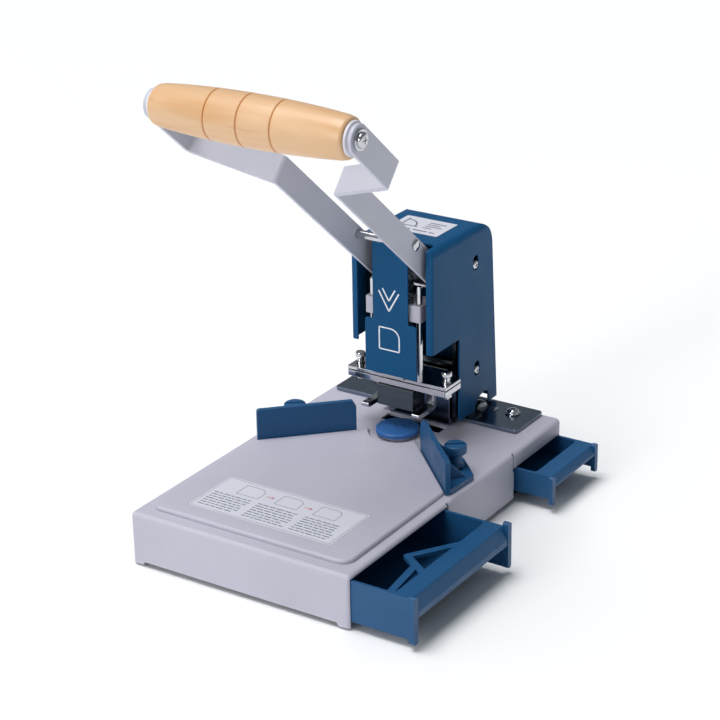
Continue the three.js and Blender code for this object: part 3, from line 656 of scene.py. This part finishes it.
for side in ("left", "right"):
    piece(f"{side}_clamp_knob", knob(f"{side}_knob"), blue_plastic, f"{side}_knob_body",
          f"{side}_knob", edge=0.25, steps=2)


# ------------------------------ drawers
# near and far are walls in Y; back, wall, ledge and lip are places in X; flare is how far each end
# flange stands out past its wall
FRONT = Sizes(
    near=2.1, far=114.5, low=6, high=34.5, back=-2, wall=117.4, ledge=128, lip=132, lip_top=25.7,
    lip_low=21.4, flange=4.4, flange_low=4.6, flange_high=37, flare=(3.2, 3.2))
REAR = Sizes(
    near=207.6, far=270, low=8.8, high=25.8, back=-39, wall=102, ledge=112.4, lip=115.2, lip_top=20.4,
    lip_low=18.4, flange=4.2, flange_low=5.8, flange_high=26.8, flare=(3.2, 0.8))
THICK = 2.0
RUNNER_LOW = 4.0
RACK = Sizes(
    wide=5.0, deep=(4, 1.5), tip=(95.6, 50.5), far_y=83.8, near_y=35.5, stay=(106.3, 42.4), foot=111.3)


def drawer(d):
    """A moulded tray with a ledge, a sloping pull and two end flanges, open under the ledge."""
    near, far, low, high, wall, ledge, lip = d.near, d.far, d.low, d.high, d.wall, d.ledge, d.lip
    inside = (near + THICK, far - THICK)
    hollow = rectangle((d.back + THICK, wall - THICK), inside, 3, 5)
    tray = cut(
        block((d.back, ledge - 1), (near, far), (low, high)),
        prism("z", hollow, low + THICK, high + CLEAR),
        block((wall, ledge), inside, (low - 1, high - THICK)),
    )
    apron = prism("y", outline([
        (ledge - 3, high - THICK), (ledge - 3, high), (ledge, high, 1.2), (lip, d.lip_top, 1.5),
        (lip, d.lip_low, 0.5), (lip - THICK, d.lip_low, 0.5), (lip - THICK, d.lip_top, 0.8),
        (ledge - THICK * 0.8, high - THICK),
    ]), *inside)
    near_end, far_end = near - d.flare[0], far + d.flare[1]
    tall = (d.flange_low, d.flange_high)
    ends = [prism("x", rectangle(y, tall, 1.6), ledge, lip + 0.3)
            for y in ((near_end, near_end + d.flange), (far_end - d.flange, far_end))]
    cheeks = [block((ledge - 3, ledge + 1), (y, y + THICK), (low, high)) for y in (near, far - THICK)]
    runners = [block((d.back, wall - 8), (y, y + THICK), (RUNNER_LOW, low + 0.5))
               for y in (near + 8, far - 10)]
    return join(tray, apron, *ends, *cheeks, *runners)


def rack():
    """The three-cornered rack moulded behind the front drawer's ledge."""
    half = RACK.wide / 2
    low, high = (FRONT.high - deep for deep in RACK.deep)
    end_x, tip = FRONT.wall - 0.5, RACK.tip
    runs = [
        (tip, (end_x, RACK.far_y)), (tip, (end_x, RACK.near_y)),
        (RACK.stay, (RACK.foot, FRONT.near + 1))]
    beams = [prism("z", line_points(start, end, half), low, high) for start, end in runs]
    whole = join(*beams, bar("z", half, low, high, tip, 24))
    return common(whole, block((0, FRONT.wall - 0.2), (0, 110), (0, 50)))


piece("front_drawer_tray", join(drawer(FRONT), rack()), blue_plastic, "front_tray", "front_drawer",
      edge=0.45)
piece("rear_drawer_tray", drawer(REAR), blue_plastic, "rear_tray", "rear_drawer", edge=0.4)


# ------------------------------ tower
PLATE_TOP = 41.0  # top of the tower's base plate
tower_base = span("tower_base_plate")
piece("ground_base_plate", prism("z", rectangle(*tower_base[:2], 2.5), *tower_base[2]), plate_steel, "base",
      "tower_base_plate", edge=0.45)


def dome_bolt(node):
    """A polished button head on a thin flange, with a hexagon socket."""
    radius, (low, top), seat = half_width(node), span(node)[2], PLATE_TOP + AIR
    rim, shank, socket = seat + 1.1, 3, 1.9
    head = turned([
        (0, low), (shank, low), (shank, seat), (radius, seat), (radius, seat + 0.7),
        (radius - 0.3, seat + 1), *arc((0, rim), (radius * 0.86, top - rim), end=72),
        (1.2, top), (0, top),
    ], upright(node), sides=64)
    hexagon = [(0, top - 1.6), (socket, top - 1.6), (socket, top + CLEAR), (0, top + CLEAR)]
    return cut(head, turned(hexagon, upright(node), sides=6))


for number in range(1, 5):
    node = f"base_bolt_{number}"
    piece(f"dome_bolt_{number}", dome_bolt(node), bright_chrome, "base", node)

COVER = Sizes(
    half=32.5, sheet=1.2, front=185, low=43.5, top=180.5, flange=5, side_bend=6, rear_bend=18, fold=2.2,
    front_bend=3, foot=273.2, top_back=264, mouth=197, cut_back=221, cut_top=105.5)
COVER_SCREWS = ((242.5, 153), (244.7, 73.7))  # y, z
KEYHOLE = Sizes(half=3.6, below=4, above=7, round=3.5)
BEYOND = Sizes(front=180, back=290, side=50, top=300)  # tools reach to here, outside the cover


def cover_hull(inset):
    """The cover's outer shape, or its hollow when inset by the sheet's thickness."""
    low = COVER.low - (5 if inset else 0)
    half, top, foot = COVER.half - inset, COVER.top - inset, COVER.foot - inset
    bend, fold = COVER.side_bend - inset, COVER.fold - inset
    front, back = COVER.front + inset, BEYOND.back
    across = outline([(-half, low), (half, low), (half, top, bend), (-half, top, bend)], 12)
    plan = outline([(-half, front, fold), (half, front, fold), (half, back), (-half, back)], 8)
    along = outline([
        (front, low), (foot, low), (COVER.top_back - inset, top, COVER.rear_bend - inset),
        (front, top, COVER.front_bend - inset)], 14)
    hull = common(prism("y", across, 170, back), through(along))
    return common(hull, prism("z", plan, 0, BEYOND.top))


def through(points):
    """A (y, z) outline as a tool through both sides of the cover."""
    return prism("x", points, -BEYOND.side, BEYOND.side)


def cover():
    """The folded tower cover: rounded top, rolled front flanges, keyholes, bolt arches."""
    top, below, inner = COVER.top, COVER.low - 5, COVER.half - COVER.flange
    mouth, cut_back, cut_top, front = COVER.mouth, COVER.cut_back, COVER.cut_top, BEYOND.front
    half, under, over = KEYHOLE.half, KEYHOLE.below, KEYHOLE.above
    keyholes = [through(rectangle((y - half, y + half), (z - under, z + over), KEYHOLE.round))
                for y, z in COVER_SCREWS]
    arch = through(outline([
        (243, below), (261.5, below), (261.5, 51, 2), (257, 54, 2), (247, 52, 2), (243, 48, 2)]))
    side_gap = through(outline([
        (175, below), (cut_back, below), (cut_back, cut_top, 1.2), (175, cut_top)]))
    return cut(
        cover_hull(0), cover_hull(COVER.sheet),
        block((-inner, inner), (front, 190), (below, top - COVER.sheet - 1)),
        prism("z", outline([
            (-inner, front), (inner, front), (inner, mouth, 3), (-inner, mouth, 3),
        ]), top - 8, top + 5),
        side_gap, *keyholes, arch,
    )


piece("folded_tower_cover", cover(), tower_paint, "base", "tower_cover")


def cross_head(radius, height, base, centre, shank=1.6, back=3.5):
    """A pan-head screw along +X with a cross recess. base is where its head starts."""
    top = base + height
    crown = arc((0, base + height * 0.45), (radius, height * 0.55), 5, 80)
    head = turned([
        (0, base - back), (shank, base - back), (shank, base), (radius, base), *crown, (0, top),
    ], centre, "x", 48)
    long, wide, deep = (-radius / 2, radius / 2), (-0.35, 0.35), (top - 1, top + CLEAR)
    blades = [block(deep, long, wide), block(deep, wide, long)]
    for blade in blades:
        blade.transform(Matrix.Translation(centre))
    return cut(head, *blades)


for number, place in enumerate(COVER_SCREWS, 1):
    screw = cross_head(3.1, 2.2, 31.0, (0, *place), back=1.8)
    twins(f"cross_screw_{{}}_{number}", screw, bright_chrome, "base", f"cover_screw_{{}}_{number}")

piece("small_plate_screw", turned([
    (0, 40), (1.2, 40), (1.2, 41.2), (2.4, 41.2), (2.3, 41.7), (1.7, 42.3), (0.6, 42.5), (0, 42.5),
], (40.9, 256.3, 0), sides=32), bright_chrome, "base", "base_screw")


piece("ground_die_column", block(*span("die_column")), plate_steel, "base", "die_column",
      edge=0.6)


GUIDE = Sizes(half=22, ears=25.8, ears_from=200.5, slot=9.3, slot_back=200.3)
ROD = Sizes(x=18.6, y=191, bore=2.45)


def guide():
    """The guide block: a slot for the slide block, a bore for each rod, ears against the frame."""
    y, z = span("guide_block")[1:]
    half, ears, slot = GUIDE.half, GUIDE.ears, GUIDE.slot
    through_z = (z[0] - CLEAR, z[1] + CLEAR)
    body = prism("z", rectangle((-half, half), y, 1.2, 4), *z)
    body = join(body, block((-ears, ears), (GUIDE.ears_from, y[1]), z))
    opening = block((-slot, slot), (y[0] - CLEAR, GUIDE.slot_back), through_z)
    bores = [bar("z", ROD.bore, *through_z, (side * ROD.x, ROD.y), 40) for side in (-1, 1)]
    return cut(body, opening, *bores)


piece("machined_guide_block", guide(), housing_paint, "base", "guide_block", edge=0.4)


SPRING = Sizes(wire=0.45, radius=2.1, turns=9.0, closed=0.9, points=300)


def spring(node):
    """An open-wound return spring with a closed turn at each end."""
    low, high = span(node)[2]
    centre = middle(node)
    wire, radius, turns, closed = SPRING.wire, SPRING.radius, SPRING.turns, SPRING.closed
    open_rise = high - low - 2 * wire - 4 * closed * wire
    path = []
    for k in range(SPRING.points + 1):
        turn = turns * k / SPRING.points
        opened = min(max((turn - closed) / (turns - 2 * closed), 0), 1)
        wound = min(turn, closed) + max(turn - turns + closed, 0)
        height = low + wire + 2 * wire * wound + open_rise * opened
        angle = 2 * math.pi * turn
        out = Vector((math.cos(angle), math.sin(angle), 0)) * radius
        path.append(Vector((centre.x, centre.y, height)) + out)
    return swept(path, wire, 10)


for side in ("right", "left"):
    node = f"return_spring_{side}"
    # The coils take the dark steel as painted shade, since they sit in the tower's shaded interior.
    coil = piece(f"{side}_return_coil", spring(node), dark_steel, "base", node)
    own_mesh(coil)


# ------------------------------ press
FACE = Sizes(narrow=14, wide=20.5, shoulder=124.5, thick=1.2, lip=9)


def face_plate():
    """The painted front plate: wide foot, shoulders, top bent back over the slide block."""
    (front, _), (low, top) = span("face_plate")[1:]
    narrow, wide, shoulder, thick = FACE.narrow, FACE.wide, FACE.shoulder, FACE.thick
    lip = front + FACE.lip
    across = outline([
        (-wide, low, 1), (wide, low, 1), (wide, shoulder, 2), (narrow, shoulder, 0.8),
        (narrow, top + 1), (-narrow, top + 1), (-narrow, shoulder, 0.8), (-wide, shoulder, 2)])
    along = outline([
        (front, low - 1), (front + thick, low - 1), (front + thick, top - thick, 2),
        (lip, top - thick), (lip, top), (front, top, 3.4)], 10)
    return common(prism("y", across, front - 1, front + 20), prism("x", along, -30, 30))


piece("painted_face_plate", face_plate(), tower_paint, "press", "face_plate", edge=0.2, steps=2)
NOSE_GROOVE = ((-10, 10), (190.6, 205), (150.7, 158.7))  # across the slide block's back
piece("ground_slide_block", cut(block(*span("slide_block")), block(*NOSE_GROOVE)), plain_steel, "press",
      "slide_block", edge=0.4)

for side in ("left", "right"):
    node = f"guide_rod_{side}"
    radius, (low, high) = half_width(node), span(node)[2]
    piece(f"polished_rod_{side}", turned([
        (0, low), (radius, low), (radius, high - 0.7), (radius - 0.7, high), (0, high),
    ], upright(node), sides=40), rod_steel, "press", node)

for node, name in (("upper_plate", "upper_chromed_plate"), ("lower_plate", "lower_chromed_plate")):
    x, y, z = span(node)
    piece(name, prism("z", rectangle(x, y, 1.4), *z), bright_chrome, "press", node, edge=0.45)


def plate_bolt(node):
    """A shouldered bolt: domed head on a post through both plates, with a hexagon nut below."""
    low, top = span(node)[2]
    under = span("lower_plate")[2][0] - AIR
    seat = span("upper_plate")[2][1] + AIR
    shank, post, head = 2, 2.5, 3.6
    shaft = turned([
        (0, low), (1.7, low), (shank, low + 0.4), (shank, seat), (3.3, seat), (3.3, seat + 0.9),
        (post, seat + 1.1), (post, top - 4), (3.2, top - 3.9), (head, top - 3.3), (head, top - 1.2),
        (3.2, top - 0.4), (2.2, top), (0, top),
    ], upright(node), sides=48)
    nut = turned([
        (0, under - 3.2), (3.4, under - 3.2), (3.9, under - 2.8), (3.9, under - 0.4), (3.4, under),
        (0, under),
    ], upright(node), sides=6)
    return join(shaft, nut)


for side in ("left", "right"):
    node = f"plate_bolt_{side}"
    piece(f"shoulder_bolt_{side}", plate_bolt(node), bright_chrome, "press", node)

piece("ground_punch_block", block(*span("punch_block")), dark_steel, "press", "punch_block", edge=0.5)


APEX_Y = 203.4  # the fences' inner faces would meet here
KNIFE = Sizes(arc=10, thick=4, tail=3, ground=2.4, edge=0.25, steps=24)


def knife():
    """The corner knife: a curved wall whose outer side is ground away to a cutting edge."""
    low, high = span("corner_knife")[2]
    arc, outer, steps = KNIFE.arc, KNIFE.arc + KNIFE.thick, KNIFE.steps
    ground = low + KNIFE.ground
    profile = [(arc, low), (arc + KNIFE.edge, low), (outer, ground), (outer, high), (arc, high)]
    centre = Vector((0, APEX_Y - arc * math.sqrt(2), 0))
    tail = KNIFE.tail * math.sqrt(0.5)
    bm = bmesh.new()

    def section(angle, shift=(0, 0, 0)):
        along = Vector((math.cos(angle), math.sin(angle), 0))
        return [bm.verts.new(centre + along * r + Vector(shift) + Vector((0, 0, h))) for r, h in profile]

    run = [math.radians(45 + 90 * k / steps) for k in range(steps + 1)]
    ends = section(run[0], (tail, -tail, 0)), section(run[-1], (-tail, -tail, 0))
    return lofted(bm, [ends[0], *map(section, run), ends[1]])


piece("ground_corner_knife", knife(), plain_steel, "press", "corner_knife")


STRIP = Sizes(back=205, thick=3.4, wide=5.6)


def hold_down():
    """Two feet on one bridge, bent from strip."""
    x, (tip, bridge_back), (low, top) = span("hold_down")
    back, thick, wide = STRIP.back, STRIP.thick, STRIP.wide
    bent = outline([
        (tip + 1.5, low, 1), (back, low, 4), (back, top), (back - thick, top),
        (back - thick, low + thick, 1.5), (tip, low + thick, 0.8), (tip, low + 1.4, 0.8),
    ], 6)
    fingers = [prism("x", bent, *edge) for edge in ((x[0], x[0] + wide), (x[1] - wide, x[1]))]
    return join(*fingers, block(x, (back - 0.1, bridge_back), (top - 2, top)))


piece("bent_hold_down", hold_down(), bright_chrome, "press", "hold_down",
      edge=0.35, steps=2)


# ------------------------------ handle
ARM = Sizes(width=19, sheet=2.5, inner=23.8, outer=75.4, jog=(161, 190), tail=9.5)
ARM_TILT = math.radians(41)
PIVOT = (214.0, 148.7)  # y, z
GRIP_S = 238.0  # from the pivot to the grip, along the arm
ROD_AT = (51.5, -4.5)  # the cross rod, along the arm and above it
BORES = dict(shaft=4.2, rod=3.2, bolt=4.4)

# the arms lie flat in X and s, the way from the pivot to the grip, before they are tilted
ARM_MATRIX = Matrix((
    (1, 0, 0, 0),
    (0, -math.cos(ARM_TILT), -math.sin(ARM_TILT), PIVOT[0]),
    (0, math.sin(ARM_TILT), -math.cos(ARM_TILT), PIVOT[1]),
    (0, 0, 0, 1),
))
GRIP_AT = ARM_MATRIX @ Vector((0, GRIP_S, 0))


def arm():
    """One arm of flat strip: straight, a sloping jog outwards, straight again, round ends."""
    sheet, inner, outer, tail, half = ARM.sheet, ARM.inner, ARM.outer, ARM.tail, ARM.width / 2
    near, far = ARM.jog
    lead = sheet * 0.6
    end = GRIP_S + tail
    strip = prism("z", outline([
        (inner - sheet, -tail), (inner, -tail), (inner, near - lead, 2), (outer, far - lead, 4.5),
        (outer, end), (outer - sheet, end), (outer - sheet, far + lead, 2),
        (inner - sheet, near + lead, 4.5),
    ], 8), -half, half)
    round_ends = prism("x", rectangle((-tail, end), (-half, half), half - 0.02, 20), -5, outer + 5)
    bores = [
        bar("x", BORES[key], 0, outer + 5, at, 40)
        for key, at in (("shaft", (0, 0)), ("rod", ROD_AT), ("bolt", (GRIP_S, 0)))]
    shape = cut(common(strip, round_ends), *bores)
    shape.transform(ARM_MATRIX)
    return outward(shape)


twins("{}_bent_arm", arm(), arm_paint, "handle", "arm_{}", 0.35)


def cross_rod():
    """A polished rod between the arms, with a riveted ring outside each arm."""
    half, ring, shank, head = 25.4, 24.0, 3, 4
    right = [(head, ring), (head, half - 0.7), (3.3, half - 0.2), (1.2, half), (0, half)]
    left = [(radius, -height) for radius, height in reversed(right)]
    centre = ARM_MATRIX @ Vector((0, *ROD_AT))
    return turned([*left, (shank, -ring), (shank, ring), *right], centre, "x", 48)


piece("polished_cross_rod", cross_rod(), bright_chrome, "handle", "cross_rod")


def grip_bolt():
    """The spindle through the grip, with a flat washer and a cross-head screw at each end."""
    outer = ARM.outer
    inside, rim, low, high = 3.6, 6.8, outer + AIR, outer + 1.6
    spindle = bar("x", 4, -outer - 1.4, outer + 1.4, GRIP_AT.yz, 40)
    washer = turned([
        (inside, low), (rim - 0.3, low), (rim, low + 0.3), (rim, high - 0.4), (rim - 0.4, high),
        (inside, high),
    ], GRIP_AT, "x", 64, closed=True)
    head = cross_head(4.9, 2.4, outer + 1.5, GRIP_AT, 3.5, 2)
    return join(spindle, washer, head, mirrored(washer.copy()), mirrored(head.copy()))


piece("grip_spindle", grip_bolt(), bright_chrome, "handle", "grip_bolt")


def grip_cap():
    """A white bush between the grip and the arm, with a stepped face."""
    low, high = span("grip_cap_right")[0]
    bore, rim = 4.5, 10.9
    return turned([
        (bore, low), (rim - 0.4, low), (rim, low + 0.3), (rim, high - 0.9), (rim - 0.4, high - 0.4),
        (9.4, high - 0.3), (9, high), (bore, high),
    ], GRIP_AT, "x", 72, closed=True)


twins("{}_grip_bush", grip_cap(), cap_plastic, "handle", "grip_cap_{}")


GRIP = Sizes(belly=16.5, end=13.2, bore=4.4, swell=2.1, groove_half=0.75, groove_deep=0.55)


def grip():
    """Barrel-shaped turned wood with rounded ends and three V grooves."""
    half = span("wood_grip")[0][1]
    belly, end, wide, deep = GRIP.belly, GRIP.end, GRIP.groove_half, GRIP.groove_deep

    def swell(x):
        return belly - (belly - end) * abs(x / half) ** GRIP.swell

    skin = [(swell(x), x) for x in range(-66, 67, 3) if all(abs(x - g) > 1.4 for g in GRIP_GROOVES)]
    for groove in GRIP_GROOVES:
        full = swell(groove)
        skin += [(full, groove - wide), (full - deep, groove), (full, groove + wide)]
    skin.sort(key=lambda point: point[1])
    right_end = [*arc((end - 1.9, half - 2.4), (1.8, 2.4)), (GRIP.bore, half)]
    left_end = [(radius, -height) for radius, height in reversed(right_end)]
    return turned([*left_end, *skin, *right_end], GRIP_AT, "x", 128, closed=True)


piece("turned_wood_grip", grip(), grip_wood, "grip", "wood_grip")


# ------------------------------ printed marks, all generic
PRINT = 0.03  # thickness of a printed mark


def strokes(name, runs, width, axis, level, look, body):
    """Several straight printed lines as one piece."""
    whole = bmesh.new()
    for start, end in runs:
        line = prism(axis, line_points(start, end, width / 2), level, level + PRINT)
        mesh = mesh_of("stroke", line)
        whole.from_mesh(mesh)
        bpy.data.meshes.remove(mesh)
    piece(name, whole, look, body)


def through_points(*points):
    """The straight runs from each point to the next."""
    return list(zip(points, points[1:]))


def rounded_sheet(left, low, right, high, radius, count):
    """A sheet of paper whose upper right corner is rounded."""
    corner = arc((right - radius, high - radius), (radius, radius), count)
    return through_points(*corner, (left, high), (left, low), (right, low), corner[0])


def table_label():
    """Three small pictures of a sheet, arrows between them, and three columns of grey bars."""
    x, y, z = span("table_label")
    piece("table_label_sheet", prism("z", rectangle(x, y, 1.5), *z), label_paper, "base", "table_label")
    level = z[1] + 0.01
    pictures, arrows, bars = [], [], []
    for left in (-38, -8, 22):
        pictures += rounded_sheet(left, 53, left + 17, 66, 6, 10)
    strokes("label_pictures", pictures, 0.35, "z", level, ink, "base")
    for left in (-18, 12):
        tip = (left + 6, 59)
        arrows += [((left, 59), tip), (tip, (left + 4, 60.4)), (tip, (left + 4, 57.6))]
    strokes("label_arrows", arrows, 0.5, "z", level, red_ink, "base")
    top_row, pitch, gap = 48, 3.1, 0.9
    for left, wide in ((-52, 30), (-17, 32), (20, 30)):
        for row in range(7):
            height = top_row - row * pitch
            across = left
            while across < left + wide - 3:
                length = min(random.uniform(2.0, 6.5), left + wide - across)
                bars.append(((across, height), (across + length, height)))
                across += length + gap
    strokes("label_bars", bars, 0.85, "z", level, ink, "base")
    border = rectangle((x[0] + 1.5, x[1] - 1.5), (y[0] + 1.5, y[1] - 1.5))
    strokes("label_border", through_points(*border, border[0]), 0.25, "z", level, ink, "base")


def tower_label():
    """A sheet's corner with a quarter circle, and some bars."""
    x, y, z = span("tower_label")
    piece("tower_label_sheet", prism("z", rectangle(x, y, 1.2), *z), label_paper, "base", "tower_label")
    level = z[1] + 0.01
    rows = ((15, 233), (12, 229.5), (15, 226), (9, 222.5))
    corner = [
        *through_points((-15, 235), (-15, 222), (-2, 222)),
        *through_points(*arc((-15, 222), (11, 11), 14)),
        *[((2, height), (end, height)) for end, height in rows]]
    strokes("tower_label_corner", corner, 1.1, "z", level, ink, "base")
    bars = [((start, 216), (end, 216)) for start, end in ((-15, -4), (-2, 9), (11, 15))]
    strokes("tower_label_bars", bars, 1.4, "z", level, ink, "base")


def face_marks():
    """Plain pictograms on the face plate: an arrow for the stroke, a sheet with a rounded corner."""
    level = span("face_plate")[1][0] - 0.04
    centre = -1.0
    chevrons = [
        *through_points((centre - 8, 146), (centre, 132), (centre + 8, 146)),
        *through_points((centre - 5, 148), (centre, 139.5), (centre + 5, 148))]
    strokes("stroke_arrow", chevrons, 1.1, "y", level, white_ink, "press")
    sheet = rounded_sheet(centre - 8, 103.5, centre + 8, 119.5, 7, 16)
    strokes("corner_sign", sheet, 1.0, "y", level, white_ink, "press")


table_label()
tower_label()
face_marks()

# ------------------------------ CAD nodes that stay, finished
KEPT = {
    plain_steel: ("bottom_plate", "front_partition", "rear_partition", "disc_anvil", "rocker"),
    # The frame plates are darkened as painted shade, so that their front edges read as shaded inside the
    # tower.
    dark_steel: (
        "left_frame_plate", "right_frame_plate", "frame_spacer_top", "frame_spacer_bottom", "pivot_shaft"),
}
for look, nodes in KEPT.items():
    for node in nodes:
        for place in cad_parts[node].material_slots:
            place.material = look


# ------------------------------ floor, light and camera
def stage():
    """A pale plain floor under an even, cool white sky."""
    look = Look("floor", (0.93, 0.93, 0.94), 0.9)
    look.stain((0.9, 0.9, 0.91), 0.2, 0.4, 0.7, 3, 2)
    bm = bmesh.new()
    bmesh.ops.create_grid(bm, x_segments=2, y_segments=2, size=6)
    floor = add_object("floor", mesh_of("floor", bm))
    floor.data.materials.append(look.material)
    world = bpy.data.worlds.new("studio")
    world.use_nodes = True
    sky = world.node_tree.nodes["Background"]
    sky.inputs["Color"].default_value = (0.86, 0.95, 1.0, 1)
    sky.inputs["Strength"].default_value = 0.24
    bpy.context.scene.world = world


def lamp(name, kind, power, turn, place=(0, 0, 0), **settings):
    light = bpy.data.lights.new(name, kind)
    light.energy = power
    for key, value in settings.items():
        setattr(light, key, value)
    thing = add_object(name, light)
    thing.location = place
    thing.rotation_euler = turn.to_euler()


def sun(name, away, power, spread):
    """An even light from one direction, softened over a few degrees."""
    lamp(name, "SUN", power, Vector(away).to_track_quat("Z", "Y"), angle=math.radians(spread))


def square_panel(name, place, target, power, size):
    """A soft light that faces its target."""
    lamp(name, "AREA", power, (Vector(target) - Vector(place)).to_track_quat("-Z", "Y"), place, size=size)


def camera():
    """Looks down on the front right corner, with a long lens and a slight roll."""
    azimuth, elevation, roll = math.radians(33.372), math.radians(22.974), -0.017
    from_corner = Vector((819.36, -969.60, 674.88)) * MM
    turns = ((azimuth, "Z"), (math.pi / 2 - elevation, "X"), (roll, "Z"))
    around, over, tilted = (Matrix.Rotation(angle, 4, axis) for angle, axis in turns)
    lens = bpy.data.cameras.new("camera")
    lens.sensor_width = 36
    lens.lens = 108.7
    eye = add_object("camera", lens)
    eye.matrix_world = Matrix.Translation(BASE_CORNER + from_corner) @ around @ over @ tilted
    bpy.context.scene.camera = eye


stage()
sun("overhead", (-0.22, -0.12, 0.96), 2.5, 36)
sun("front", (-0.16, -0.95, 0.30), 0.88, 20)
square_panel("softbox", (-1.1, -1.5, 1.7), (0, 0, 0.1), 5, 1.2)
camera()
bpy.context.scene.view_settings.view_transform = "Standard"
